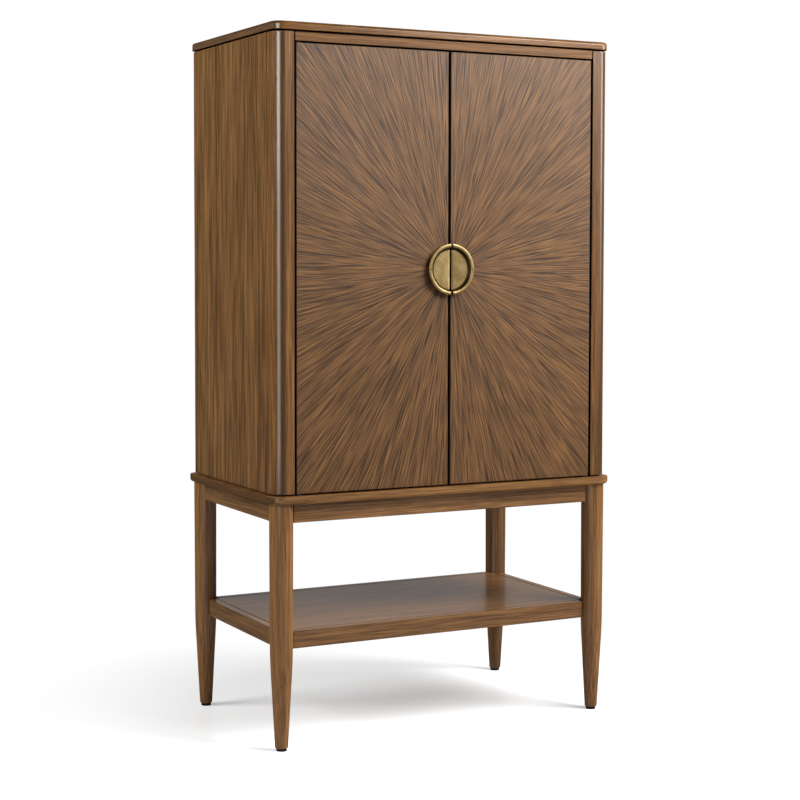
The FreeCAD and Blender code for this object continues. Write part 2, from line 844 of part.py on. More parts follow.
# Half section of a leg: a slight taper above the knee, a stronger one below, and an arc between them.
def leg_profile(body, name):
    sketch = new_sketch(body, name, "XZ_Plane")
    foot = FreeCAD.Vector(size("leg_foot_radius"), size("glide_height"))
    knee = FreeCAD.Vector(size("leg_knee_radius"), size("leg_knee_height"))
    shoulder = FreeCAD.Vector(size("leg_top_radius"), size("leg_height"))
    below = (foot - knee).normalize()
    above = (shoulder - knee).normalize()
    half_turn = (math.pi - below.getAngle(above)) / 2
    bend = size("leg_knee_round")
    arc_foot = knee + below * bend * math.tan(half_turn)
    arc_top = knee + above * bend * math.tan(half_turn)
    arc_middle = knee + (below + above).normalize() * bend * (1 / math.cos(half_turn) - 1)
    foot_centre = FreeCAD.Vector(0, foot.y)
    top_centre = FreeCAD.Vector(0, shoulder.y)
    sole, taper, knee_arc, shank, top, core, knee_mark = sketch.addGeometry([
        Part.LineSegment(foot_centre, foot),
        Part.LineSegment(foot, arc_foot),
        Part.Arc(arc_foot, arc_middle, arc_top),
        Part.LineSegment(arc_top, shoulder),
        Part.LineSegment(shoulder, top_centre),
        Part.LineSegment(top_centre, foot_centre),
        Part.Point(knee),
    ], False)
    sketch.toggleConstruction(knee_mark)
    for first, second in ((sole, taper), (shank, top), (top, core), (core, sole)):
        sketch.addConstraint(Sketcher.Constraint("Coincident", first, 2, second, 1))
    sketch.addConstraint(Sketcher.Constraint("Tangent", taper, 2, knee_arc, 1))
    sketch.addConstraint(Sketcher.Constraint("Tangent", knee_arc, 2, shank, 1))
    sketch.addConstraint(Sketcher.Constraint("PointOnObject", knee_mark, 1, taper))
    sketch.addConstraint(Sketcher.Constraint("PointOnObject", knee_mark, 1, shank))
    number = sketch.addConstraint(Sketcher.Constraint("Radius", knee_arc, bend))
    bind(sketch, f"Constraints[{number}]", "leg_knee_round")
    fix_point(sketch, knee_mark, 1, ("leg_knee_radius", "leg_knee_height"))
    fix_point(sketch, sole, 1, (0, "glide_height"))
    fix_point(sketch, taper, 1, ("leg_foot_radius", "glide_height"))
    fix_point(sketch, top, 1, ("leg_top_radius", "leg_height"))
    fix_point(sketch, core, 1, (0, "leg_height"))
    return sketch


# Turned legs, housed for the rails.
def make_legs(frames, dowel_holes, bolt_holes, glide_holes):
    for end, end_sign in ends:
        for side, side_sign in sides:
            name = f"leg_{end}_{side}"
            body = new_body(f"{name}_turned")
            revolve(body, leg_profile(body, f"{name}_profile"))
            round_edges(body, "leg_foot_round", ring_at(size("leg_foot_radius"), size("glide_height")))
            place(body, (f"{side_sign} * leg_x", f"{end_sign} * leg_y", 0))
            seats = [frame[key] for frame in frames for key in (end, side)]
            node(name, cut(name, body, seats + [dowel_holes, bolt_holes, glide_holes]))


# Black glides nailed into the feet.
def make_glides():
    places = [
        ((f"{side_sign} * leg_x", f"{end_sign} * leg_y", 0), up)
        for end, end_sign in ends
        for side, side_sign in sides
    ]
    disc = cylinder("glide_disc", (0, 0, 0), "glide_radius", "glide_height")
    nail = cylinder("glide_nail", (0, 0, 0), "glide_pin_radius", "glide_height + glide_pin_length")
    node("leg_glides", copies("glide_set", fuse("glide_model", disc, nail), places))
    return bars("glide_holes", places, "glide_pin_radius + fit_gap", "glide_height + glide_pin_length")


# Corner blocks across each corner of the apron frame, with a bolt through each into the leg.
def make_corner_blocks():
    blocks = []
    screw_places = []
    bolts = {"leg_bolts": [], "leg_bolt_washers": [], "leg_bolt_nuts": [], "holes": []}
    for end, end_sign in ends:
        for side, side_sign in sides:
            inward = (-side_sign, -end_sign, 0)

            def from_leg(distance):
                return (f"{side_sign} * (leg_x - ({distance}) / sqrt(2))",
                        f"{end_sign} * (leg_y - ({distance}) / sqrt(2))", "bolt_height")

            name = f"block_{end}_{side}"
            far = "(block_reach + block_width)"
            corners = [
                ("block_reach", "apron_back"),
                (far, "apron_back"),
                ("apron_back", far),
                ("apron_back", "block_reach"),
            ]
            body = new_body(name)
            pad(body, outline(body, f"{name}_outline", "XY_Plane", corners), "block_height")
            quarter_turns = {(-1, -1): 0, (1, -1): 1, (1, 1): 2, (-1, 1): 3}[(side_sign, end_sign)]
            place(body, (f"{side_sign} * leg_x", f"{end_sign} * leg_y", "leg_height - block_height"))
            body.Placement.Rotation = FreeCAD.Rotation(FreeCAD.Vector(*up), 90 * quarter_turns)
            blocks.append(body)
            middle = "(block_front + block_back) / 2"
            for step in (-1, 1):
                shift = f"{step} * block_screw_spread / 2"
                spot = (f"{side_sign} * (leg_x - ({middle} + {shift}) / sqrt(2))",
                        f"{end_sign} * (leg_y - ({middle} - {shift}) / sqrt(2))", "leg_height - block_height")
                screw_places.append((spot, up))
            start = from_leg("bolt_start")
            bolt_length = "bolt_end - bolt_start"
            bolts["leg_bolts"].append(cylinder(f"{name}_bolt", start, "bolt_radius", bolt_length, inward))
            hole = cylinder(f"{name}_bolt_hole", start, "bolt_radius + fit_gap", bolt_length, inward)
            bolts["holes"].append(hole)
            washer = cylinder(f"{name}_washer_disc", from_leg("block_back"), "bolt_washer_radius",
                              "bolt_washer_thickness", inward)
            bolts["leg_bolt_washers"].append(cut(f"{name}_washer", washer, [hole]))
            nut = document.addObject("Part::Prism", f"{name}_nut_blank")
            nut.Polygon = 6
            bind(nut, "Circumradius", "bolt_nut_radius")
            bind(nut, "Height", "bolt_nut_height")
            place(nut, from_leg("block_back + bolt_washer_thickness"), inward)
            bolts["leg_bolt_nuts"].append(cut(f"{name}_nut", nut, [hole]))
    holes = group("leg_bolt_holes", bolts.pop("holes"))
    for name, members in bolts.items():
        node(name, group(f"{name}_set", members))
    screw_holes = screws("block_screws", screw_places, "block_screw_length")
    node("corner_blocks", cut("corner_blocks", group("corner_block_set", blocks), [holes, screw_holes]))
    return holes, screw_holes


# Low shelf: a panel set inside four rails on two cleats, cut away round the legs.
def make_low_shelf():
    inner_x = "leg_x - low_rail_back"
    inner_y = "leg_y - low_rail_back"
    panel = box(
        "low_panel_board",
        (f"-({inner_x} - low_panel_gap)", f"{inner_x} - low_panel_gap"),
        (f"-({inner_y} - low_panel_gap)", f"{inner_y} - low_panel_gap"),
        ("low_panel_bottom", "low_shelf_top"),
    )
    leg_spots = [
        ((f"{side_sign} * leg_x", f"{end_sign} * leg_y", "low_panel_bottom"), up)
        for end, end_sign in ends
        for side, side_sign in sides
    ]
    gap_radius = "leg_top_radius + low_panel_leg_gap"
    leg_gaps = bars("low_panel_leg_gaps", leg_spots, gap_radius, "low_panel_thickness")
    node("low_shelf_panel", cut("low_shelf_panel", panel, [leg_gaps]))
    cleats = [
        box(
            f"cleat_{end}",
            (f"-({inner_x} - cleat_end_gap)", f"{inner_x} - cleat_end_gap"),
            on_side(end_sign, f"{inner_y} - cleat_size", inner_y),
            ("low_panel_bottom - cleat_size", "low_panel_bottom"),
        )
        for end, end_sign in ends
    ]
    node("low_shelf_cleats", group("cleat_pair", cleats))


# Six screws in two rows, driven up through one board into the next.
def board_screws(label, level):
    places = [
        ((f"{column} * board_screw_spread_x", f"{row} * board_screw_spread_y", level), up)
        for column in (-1, 0, 1)
        for row in (-1, 1)
    ]
    return screws(label, places, "board_screw_length")


def make_stand(tray_tools):
    apron_levels = ("apron_bottom", "leg_height")
    low_levels = ("low_rail_bottom", "low_shelf_top")
    aprons = rail_frame("apron", "apron_offset", "apron_back", "apron_end", apron_levels)
    low_rails = rail_frame("low_rail", "shelf_rail_offset", "low_rail_back", "shelf_rail_end", low_levels)
    dowel_height = "leg_height - apron_dowel_drop"
    places = frame_dowels("apron_back", "apron_offset", "apron_end", dowel_height, dowel_height)
    low_front_height = "low_rail_bottom + shelf_rail_dowel_low"
    low_side_height = "low_rail_bottom + shelf_rail_dowel_high"
    places += frame_dowels("low_rail_back", "shelf_rail_offset", "shelf_rail_end",
                           low_front_height, low_side_height)
    node("stand_dowels", bars("stand_dowel_set", places, "dowel_radius", "dowel_length"))
    dowel_holes = bars("stand_dowel_holes", places, "dowel_radius + fit_gap", "dowel_length")
    glide_holes = make_glides()
    bolt_holes, block_screw_holes = make_corner_blocks()
    make_legs((aprons, low_rails), dowel_holes, bolt_holes, glide_holes)
    for label, frame in (("apron", aprons), ("low_rail", low_rails)):
        for key, bar in frame.items():
            node(f"{label}_{key}", cut(f"{label}_{key}", bar, [dowel_holes]))
    make_low_shelf()
    make_tray(tray_tools + [block_screw_holes])


def make_cabinet():
    top_screw_holes = board_screws("top_panel_screws", "ceiling")
    tray_screw_holes = board_screws("tray_screws", "leg_height")
    back_screw_holes = make_back_screws()
    dowel_holes = make_carcase_dowels()
    pin_holes = make_inner_shelves()
    rail_tools, tray_tools, door_tools = make_pivots()
    pull_holes = make_pulls()
    catch_holes, strike_holes = make_catches()
    make_bumpers()
    make_top_panel(top_screw_holes)
    make_posts(back_screw_holes)
    make_top_rail(rail_tools)
    make_side_panels(dowel_holes, pin_holes)
    make_carcase_boards([dowel_holes, tray_screw_holes, back_screw_holes],
                        [dowel_holes, top_screw_holes, back_screw_holes, catch_holes])
    make_back_panel(back_screw_holes)
    make_doors({side: door_tools[side] + [pull_holes[side], strike_holes[side]] for side, sign in sides})
    make_stand(tray_tools + [tray_screw_holes])


def check_parts():
    faults = [part.Label for part in document.Objects if {"Invalid", "Error"} & set(part.State)]
    faults += [part.Label for part in nodes if part.Shape.isNull() or not part.Shape.isValid()]
    faults += [part.Label for part in nodes if not part.Shape.Solids]
    if faults:
        raise RuntimeError("not built: " + ", ".join(sorted(set(faults))))


def write_parts():
    os.makedirs("parts", exist_ok=True)
    for part in nodes:
        part.Shape.exportStep(f"parts/{part.Label}.step")
        print(part.Label, len(part.Shape.Solids), round(part.Shape.Volume))


fill_sheet()
make_cabinet()
document.recompute()
check_parts()
write_parts()
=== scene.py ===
import math

import bmesh
import bpy
from mathutils import Matrix, Vector


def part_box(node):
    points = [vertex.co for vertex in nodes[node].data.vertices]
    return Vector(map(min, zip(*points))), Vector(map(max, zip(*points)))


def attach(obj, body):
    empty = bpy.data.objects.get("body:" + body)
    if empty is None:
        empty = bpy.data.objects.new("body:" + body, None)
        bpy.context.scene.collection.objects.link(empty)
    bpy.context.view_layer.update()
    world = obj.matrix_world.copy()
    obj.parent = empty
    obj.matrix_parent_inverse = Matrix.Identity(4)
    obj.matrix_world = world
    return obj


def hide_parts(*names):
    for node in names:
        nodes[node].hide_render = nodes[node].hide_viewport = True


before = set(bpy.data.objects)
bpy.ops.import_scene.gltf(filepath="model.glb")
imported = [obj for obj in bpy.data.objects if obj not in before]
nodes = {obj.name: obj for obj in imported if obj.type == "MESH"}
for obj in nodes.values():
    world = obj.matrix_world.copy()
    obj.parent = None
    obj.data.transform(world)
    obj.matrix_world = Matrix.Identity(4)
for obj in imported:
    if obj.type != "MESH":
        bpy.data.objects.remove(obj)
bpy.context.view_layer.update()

scene = bpy.context.scene
scene.view_settings.view_transform = "Standard"
millimetre = 0.001
fullTurn = 2 * math.pi
samePlace = 0.00001    # places closer than this count as one
mergeReach = 0.000001    # points of a new shape that are joined
cadReach = 0.00002    # corners of a solid that are joined
print("frame loaded:", len(nodes), "nodes")


# Node helpers: sockets or plain values go in, an output socket comes back.

def screenColour(red, green, blue):
    def straight(value):    # the usual screen curve, undone
        value /= 255
        return value / 12.92 if value <= 0.04045 else ((value + 0.055) / 1.055) ** 2.4
    return (straight(red), straight(green), straight(blue), 1.0)


def tones(dark, middle, light):
    return {"dark": screenColour(*dark), "middle": screenColour(*middle), "light": screenColour(*light)}


def grey(level):
    return (level, level, level, 1.0)


def addNode(tree, kind, inputs, **settings):
    node = tree.nodes.new(kind)
    for key, value in settings.items():
        setattr(node, key, value)
    for key, value in inputs.items():
        if isinstance(value, bpy.types.NodeSocket):
            tree.links.new(value, node.inputs[key])
        else:
            node.inputs[key].default_value = value
    return node


def calc(tree, operation, *values):
    return addNode(tree, "ShaderNodeMath", dict(enumerate(values)), operation=operation).outputs[0]


def vectorCalc(tree, operation, *values):
    node = addNode(tree, "ShaderNodeVectorMath", dict(enumerate(values)), operation=operation)
    return node.outputs["Value" if operation in ("LENGTH", "DOT_PRODUCT") else "Vector"]


def scaleVector(tree, vector, scale):
    values = {"Vector": vector, "Scale": scale}
    return addNode(tree, "ShaderNodeVectorMath", values, operation="SCALE").outputs[0]


# How far one value is from another, either way.
def apart(tree, first, second):
    return calc(tree, "ABSOLUTE", calc(tree, "SUBTRACT", first, second))


def axisParts(tree, vector):
    return addNode(tree, "ShaderNodeSeparateXYZ", {"Vector": vector}).outputs


def joined(tree, x, y, z=0.0):
    return addNode(tree, "ShaderNodeCombineXYZ", {"X": x, "Y": y, "Z": z}).outputs[0]


def objectPlace(tree):
    return tree.nodes.new("ShaderNodeTexCoord").outputs["Object"]


def noise(tree, vector, scale, detail=2.0, roughness=0.5, output="Fac"):
    values = {"Vector": vector, "Scale": scale, "Detail": detail, "Roughness": roughness}
    return addNode(tree, "ShaderNodeTexNoise", values).outputs[output]


# Moves a place about by up to half of the reach.
def wavered(tree, place, scale, roughness, reach):
    waver = noise(tree, place, scale, 3.0, roughness, "Color")
    waver = vectorCalc(tree, "SUBTRACT", waver, (0.5, 0.5, 0.5))
    return vectorCalc(tree, "ADD", place, scaleVector(tree, waver, reach))


def remap(tree, value, low, high, newLow=0.0, newHigh=1.0):
    values = {"Value": value, "From Min": low, "From Max": high, "To Min": newLow, "To Max": newHigh}
    return addNode(tree, "ShaderNodeMapRange", values, clamp=True).outputs["Result"]


def ramp(tree, factor, stops):
    node = addNode(tree, "ShaderNodeValToRGB", {"Fac": factor})
    elements = node.color_ramp.elements
    while len(elements) < len(stops):
        elements.new(0.5)
    for element, (position, colour) in zip(elements, stops):
        element.position = position
        element.color = colour
    return node.outputs["Color"]


def toneRamp(tree, tone, look):
    return ramp(tree, tone, list(zip(look["stops"], (look["dark"], look["middle"], look["light"]))))


def mixColour(tree, factor, first, second):
    return addNode(tree, "ShaderNodeMix", {0: factor, 6: first, 7: second}, data_type="RGBA").outputs[2]


def mixValue(tree, factor, first, second):
    return addNode(tree, "ShaderNodeMix", {0: factor, 2: first, 3: second}).outputs[0]


# Noises added up, each with its own share, round one half.
def blended(tree, noises, shares):
    tone = 0.5 - sum(shares) / 2
    for value, share in zip(noises, shares):
        tone = calc(tree, "MULTIPLY_ADD", value, share, tone)
    return tone


def newMaterial(name, values):
    material = bpy.data.materials.new(name)
    material.use_nodes = True
    tree = material.node_tree
    shader = tree.nodes["Principled BSDF"]
    for key, value in values.items():
        shader.inputs[key].default_value = value
    return material, tree, shader


def connect(tree, shader, sockets):
    for key, socket in sockets.items():
        tree.links.new(socket, shader.inputs[key])


def bump(tree, height, strength, distance):
    values = {"Height": height, "Strength": strength, "Distance": distance}
    return addNode(tree, "ShaderNodeBump", values).outputs["Normal"]


# Marks left on a piece's mesh: "edge" on its rounded edges, "gap" on faces inside a gap, which are painted dark
# as shade.
def marked(tree, mark):
    return addNode(tree, "ShaderNodeAttribute", {}, attribute_name=mark).outputs["Fac"]


# Woods

walnut = {
    **tones((82, 53, 25), (111, 75, 39), (137, 96, 54)), "stops": (0.24, 0.5, 0.76),
    "line": screenColour(64, 41, 20), "pore": screenColour(46, 29, 14), "edge": screenColour(70, 45, 23),
    # the next colour is a near-black painted shade for faces in gaps
    "paintedShade": screenColour(10, 8, 6), "stretch": 0.018, "drift": 0.012,
    "broad": 26.0, "streak": 150.0, "fibre": 430.0, "lines": 90.0, "lineWidth": 0.035,
    "broadShare": 0.5, "streakShare": 0.9, "fibreShare": 1.1, "lineShare": 0.6,
    "roughness": 0.45, "specular": 0.12, "coat": 0.35, "coatIor": 2.4, "coatRoughness": 0.2,
    "relief": 0.00012,
}
panelWalnut = dict(walnut, **tones((80, 54, 28), (107, 75, 42), (132, 95, 57)), stretch=0.035, drift=0.008,
                   broad=16.0, streak=95.0, fibre=210.0, lines=42.0, lineWidth=0.05,
                   streakShare=1.1, fibreShare=1.4)
shelfWalnut = dict(walnut, **tones((80, 54, 31), (109, 76, 44), (133, 95, 57)), line=screenColour(48, 33, 19))
# lit and shaded copies: the left front post is painted lighter and the right front post darker, for how the
# light falls on them
litPostWalnut = dict(walnut, **tones((88, 57, 27), (119, 81, 42), (146, 103, 58)))
shadedPostWalnut = dict(walnut, **tones((78, 50, 24), (105, 71, 37), (130, 91, 51)))
railWalnut = dict(walnut, coat=0.1)
# the slab's and tray's end colour is painted shade, darker on the ends of the board
slabWalnut = dict(walnut, **tones((90, 58, 26), (121, 81, 40), (149, 103, 55)), specular=0.0,
                  side=screenColour(70, 64, 57), endShade=0.52)
# painted light: the tray's tones are raised to make up for light its front face lacks
trayWalnut = dict(walnut, **tones((94, 62, 31), (124, 86, 47), (149, 107, 63)),
                  side=screenColour(66, 45, 27), endShade=0.74)
# painted light: the front and back aprons get a lighter copy, against the shade of the tray above
apronWalnut = dict(walnut, **tones((94, 62, 32), (127, 88, 49), (156, 112, 67)))
deepWalnut = dict(walnut, **tones((82, 57, 31), (111, 79, 46), (137, 101, 62)))
legWalnut = dict(walnut, **tones((98, 64, 30), (132, 90, 46), (158, 112, 63)), line=screenColour(66, 42, 20),
                 broadShare=0.7, streakShare=0.6, lineShare=0.35)
# painted shade: a darker copy for the back right leg
shadedLegWalnut = dict(legWalnut, **tones((73, 47, 22), (99, 67, 34), (120, 84, 47)))
# the doors' dark colour below is painted shade on their edges in the gaps
doorWalnut = dict(walnut, paintedShade=screenColour(30, 20, 12), coat=0.0, specular=0.37, roughness=0.42,
                  relief=0.0003)
innerWalnut = dict(walnut, **tones((96, 65, 37), (124, 88, 54), (148, 108, 69)), line=screenColour(82, 55, 31),
                   roughness=0.5, coat=0.1)
beech = dict(walnut, **tones((168, 128, 88), (190, 150, 108), (206, 170, 128)),
             line=screenColour(158, 118, 78), pore=screenColour(140, 102, 66), edge=screenColour(176, 136, 94),
             roughness=0.6, specular=0.3, coat=0.0)

woodDetail = {    # the same for every wood; four numbers are a range and what it becomes
    "broad": (3.0, 0.55), "streak": (3.0, 0.6), "fibre": (2.0, 0.6),    # detail and roughness of each noise
    "driftScale": 3.0, "driftRoughness": 0.55, "endward": (0.6, 0.8),
    "poreScale": 1150.0, "pores": (0.64, 0.74), "poreShare": 0.5, "poreDepth": -0.8, "linesKept": (0.35, 0.6),
    "front": (-0.9, -0.5, 1.0, 0.0), "edgeDarkScale": 60.0, "edgeDarkening": (0.35, 0.65, 0.35, 0.9),
    "paintedShadeWay": (0.309, -0.951), "paintedShadeBand": (0.95, 0.985, 0.0, 0.8),
    "rimStart": (0.05, 0.2), "rimEnd": (0.96, 0.995, 1.0, 0.0), "facePolish": (0.9, 0.99, 1.0, 0.03),
    "glossSpread": 0.12, "edgeRoughness": 0.8, "gapRoughness": 0.9, "bump": 0.35,
}
leaves = {    # veneer leaves round the middle of the doors
    "count": 72, "centre": 1.096, "waver": 0.003, "waverScale": 13.0, "shift": (53.0, 47.0),
    "fine": (0.0010, 0.06, 1.0, 3.7), "broad": (0.008, 0.16, 1.0, 8.1),    # width, length, detail, depth
    "swerve": (0.008, 0.16, 1.0, 21.3),
    "pale": (0.0015, 0.08, 0.0, 12.9), "lines": (0.0016, 0.10, 0.0, 17.3),
    "fineShare": 0.9, "broadShare": 0.25, "leafShare": 0.05,
    "ridge": 0.0082, "wander": 2.4, "paleRise": 0.5,
    "crest": {"middle": 0.6, "fade": (0.0, 0.25), "kept": (0.4, 0.6, 0.1, 0.9), "alone": (0.56, 0.7, 0.0, 0.8)},
    "furrow": {"middle": 0.25, "fade": (0.04, 0.2), "kept": (0.4, 0.6, 0.9, 0.2),
               "alone": (0.32, 0.44, 0.8, 0.0)},
    **tones((72, 47, 24), (96, 65, 34), (133, 93, 52)), "stops": (0.28, 0.5, 0.72),
    "line": screenColour(38, 24, 12),
}
paintedShadeLook = {"square": (0.85, 0.97), "doorEdge": (0.3, 0.62), "railReach": (0.3958, 0.3966)}


# Tone along one axis: broad bands, streaks and fine fibres, all drawn out lengthwise.
def straightGrain(tree, place, look):
    kinds = ("broad", "streak", "fibre")
    noises = [noise(tree, place, look[kind], *woodDetail[kind]) for kind in kinds]
    return blended(tree, noises, [look[kind + "Share"] for kind in kinds]), *noises


def stretched(tree, place, axis, stretch):
    scale = [1.0, 1.0, 1.0]
    scale["xyz".index(axis)] = stretch
    return vectorCalc(tree, "MULTIPLY", place, scale)


# Veneer laid in narrow leaves, whose straight grain points at the middle of the doors.
def sunburst(tree, place):
    parts = axisParts(tree, wavered(tree, place, leaves["waverScale"], 0.5, leaves["waver"]))
    rise = calc(tree, "SUBTRACT", parts["Z"], leaves["centre"])
    radius = vectorCalc(tree, "LENGTH", joined(tree, parts["X"], rise))
    angle = calc(tree, "ARCTAN2", rise, parts["X"])
    step = fullTurn / leaves["count"]
    leafAngle = calc(tree, "MULTIPLY", calc(tree, "ROUND", calc(tree, "DIVIDE", angle, step)), step)
    aside = calc(tree, "SUBTRACT", angle, leafAngle)
    across = calc(tree, "MULTIPLY", radius, calc(tree, "SINE", aside))
    along = calc(tree, "MULTIPLY", radius, calc(tree, "COSINE", aside))
    xShift, yShift = leaves["shift"]    # each leaf has its own grain
    leaf = joined(tree, calc(tree, "MULTIPLY", calc(tree, "COSINE", leafAngle), xShift),
                  calc(tree, "MULTIPLY", calc(tree, "SINE", leafAngle), yShift))

    def leafNoise(kind):
        width, length, detail, depth = leaves[kind]
        spot = joined(tree, calc(tree, "DIVIDE", across, width), calc(tree, "DIVIDE", along, length), depth)
        return noise(tree, vectorCalc(tree, "ADD", spot, leaf), 1.0, detail)

    fine = leafNoise("fine")
    noises = [fine, leafNoise("broad"), noise(tree, leaf, 1.0, 0.0)]
    tone = blended(tree, noises, [leaves["fineShare"], leaves["broadShare"], leaves["leafShare"]])
    colour = toneRamp(tree, tone, leaves)
    ridge = calc(tree, "DIVIDE", across, leaves["ridge"])    # close ridges: a dark line, then a pale one
    ridge = calc(tree, "FRACT", calc(tree, "MULTIPLY_ADD", leafNoise("swerve"), leaves["wander"], ridge))

    def ridgeLine(kind, fibres):
        look = leaves[kind]
        line = remap(tree, apart(tree, ridge, look["middle"]), *look["fade"], 1.0, 0.0)
        line = calc(tree, "MULTIPLY", line, remap(tree, fibres, *look["kept"]))
        return calc(tree, "MAXIMUM", line, remap(tree, fibres, *look["alone"]))

    pale = ridgeLine("crest", leafNoise("pale"))
    lines = ridgeLine("furrow", leafNoise("lines"))
    colour = mixColour(tree, pale, colour, leaves["light"])
    colour = mixColour(tree, lines, colour, leaves["line"])
    height = calc(tree, "MULTIPLY_ADD", pale, leaves["paleRise"], fine)
    return colour, calc(tree, "SUBTRACT", height, lines)


# How much a face turns away from the middle of the cabinet.
def outward(tree, normal, place):
    return calc(tree, "MULTIPLY", normal["X"], calc(tree, "SIGN", axisParts(tree, place)["X"]))


# Painted shade: faces inside the gaps are darkened to near black, as if in shadow.
def paintedShadeFaces(tree, paintedShade, normal, place):
    low, high = paintedShadeLook["square"]
    ends = remap(tree, calc(tree, "ABSOLUTE", normal["Z"]), low, high)
    if paintedShade == "edges":    # edges of a door
        return remap(tree, calc(tree, "ABSOLUTE", normal["Y"]), *paintedShadeLook["doorEdge"], 1.0, 0.0)
    if paintedShade == "inward":    # inward faces and ends of a post
        inward = remap(tree, outward(tree, normal, place), -high, -low, 1.0, 0.0)
        return calc(tree, "MAXIMUM", inward, ends)
    if paintedShade == "reach":    # the last of the rail beside each post, and its upper and lower faces
        along = calc(tree, "ABSOLUTE", axisParts(tree, place)["X"])
        return calc(tree, "MAXIMUM", ends, remap(tree, along, *paintedShadeLook["railReach"]))
    if paintedShade == "under":    # lower face of the slab
        return remap(tree, normal["Z"], -high, -low, 1.0, 0.0)
    return ends


def wood(name, grain, look, burst=False, paintedShade=None, rim=0.0):
    detail = woodDetail
    fixed = {"Coat Roughness": look["coatRoughness"], "Coat IOR": look["coatIor"],
             "Specular IOR Level": look["specular"]}
    material, tree, shader = newMaterial(name, fixed)
    coordinate = tree.nodes.new("ShaderNodeTexCoord")
    spot = coordinate.outputs["Object"]
    normal = axisParts(tree, coordinate.outputs["Normal"])
    place = wavered(tree, spot, detail["driftScale"], detail["driftRoughness"], look["drift"])
    banded = grain == "banded"    # grain follows each side of a board
    if banded:
        endward = remap(tree, calc(tree, "ABSOLUTE", normal["X"]), *detail["endward"])
        values = {0: endward, 4: stretched(tree, place, "x", look["stretch"]),
                  5: stretched(tree, place, "y", look["stretch"])}
        lengthwise = addNode(tree, "ShaderNodeMix", values, data_type="VECTOR").outputs[1]
    else:
        lengthwise = stretched(tree, place, grain, look["stretch"])
    tone, broad, streak, fibre = straightGrain(tree, lengthwise, look)
    pores = remap(tree, noise(tree, lengthwise, detail["poreScale"], 1.0), *detail["pores"])
    crossing = apart(tree, noise(tree, lengthwise, look["lines"], 1.0, 0.4), 0.5)
    lines = remap(tree, crossing, 0.0, look["lineWidth"], look["lineShare"], 0.0)
    lines = calc(tree, "MULTIPLY", lines, remap(tree, broad, *detail["linesKept"]))    # lines come and go
    colour = toneRamp(tree, tone, look)
    colour = mixColour(tree, lines, colour, look["line"])
    colour = mixColour(tree, calc(tree, "MULTIPLY", pores, detail["poreShare"]), colour, look["pore"])
    if banded:    # painted shade: the ends of a board are darker than its front
        colour = mixColour(tree, calc(tree, "MULTIPLY", endward, look["endShade"]), colour, look["side"])
    height = calc(tree, "MULTIPLY_ADD", pores, detail["poreDepth"], fibre)
    if burst:
        burstColour, burstHeight = sunburst(tree, spot)
        front = remap(tree, normal["Y"], *detail["front"])
        colour = mixColour(tree, front, colour, burstColour)
        height = mixValue(tree, front, height, burstHeight)
    if paintedShade == "inward":    # painted shade: posts are darkened beside the doors, where the round begins
        xShare, yShare = detail["paintedShadeWay"]
        turned = calc(tree, "MULTIPLY", outward(tree, normal, spot), xShare)
        turned = calc(tree, "MULTIPLY_ADD", normal["Y"], yShare, turned)
        colour = mixColour(tree, remap(tree, turned, *detail["paintedShadeBand"]), colour, look["edge"])
    edgeDarkening = remap(tree, noise(tree, spot, detail["edgeDarkScale"], 2.0, 0.6), *detail["edgeDarkening"])
    edge = marked(tree, "edge")
    if rim:    # the rounded edge of a board, between its sides and its faces, is painted darker as shade
        slope = calc(tree, "ABSOLUTE", normal["Z"])
        edge = calc(tree, "MINIMUM", remap(tree, slope, *detail["rimStart"]),
                    remap(tree, slope, *detail["rimEnd"]))
        edgeDarkening = calc(tree, "MULTIPLY", edgeDarkening, rim)
    # rounded edges are darkened; on a rim this darkening is painted shade
    colour = mixColour(tree, calc(tree, "MULTIPLY", edge, edgeDarkening), colour, look["edge"])
    gloss = calc(tree, "MULTIPLY_ADD", streak, detail["glossSpread"],
                 look["roughness"] - detail["glossSpread"] / 2)
    gloss = mixValue(tree, edge, gloss, detail["edgeRoughness"])
    # painted shade: faces marked "gap", and the faces picked for it, get the near-black shade colour
    shadeMask = marked(tree, "gap")
    if paintedShade:
        shadeMask = calc(tree, "MAXIMUM", shadeMask, paintedShadeFaces(tree, paintedShade, normal, spot))
    colour = mixColour(tree, shadeMask, colour, look["paintedShade"])
    gloss = mixValue(tree, shadeMask, gloss, detail["gapRoughness"])
    sockets = {"Base Color": colour, "Roughness": gloss,
               "Normal": bump(tree, height, detail["bump"], look["relief"])}
    if look["coat"]:
        polish = calc(tree, "MULTIPLY_ADD", edge, -look["coat"], look["coat"])    # edges are worn dull
        if rim:    # the broad faces keep much less coat than the sides
            polish = calc(tree, "MULTIPLY", polish, remap(tree, slope, *detail["facePolish"]))
        sockets["Coat Weight"] = polish
    connect(tree, shader, sockets)
    return material


# Metals, plastics and rubber

brassLook = {
    **tones((116, 94, 58), (173, 146, 97), (211, 185, 135)), "stops": (0.22, 0.5, 0.80),
    "gap": screenColour(24, 19, 13), "cloud": 34.0, "speck": 420.0,
    "specks": (0.52, 0.78, 0.0, 0.4), "wear": 0.6, "brush": 1100.0, "brushStretch": (1.0, 1.0, 0.05),
    "roughness": 0.34, "cloudGloss": -0.16, "speckGloss": 0.1, "bump": 0.1, "relief": 0.00006,
}
steelLook = {"cloud": 240.0, "scratch": 1400.0, "scratchStretch": (1.0, 0.1, 1.0), "stops": (0.35, 0.65),
             "cloudRange": (0.3, 0.7), "bump": 0.1, "relief": 0.00005}
mouldedLook = {"cloud": 180.0, "pimple": 2600.0, "stops": (0.3, 0.7), "cloudRange": (0.3, 0.7), "spread": 0.08,
               "bump": 0.25, "relief": 0.00008}


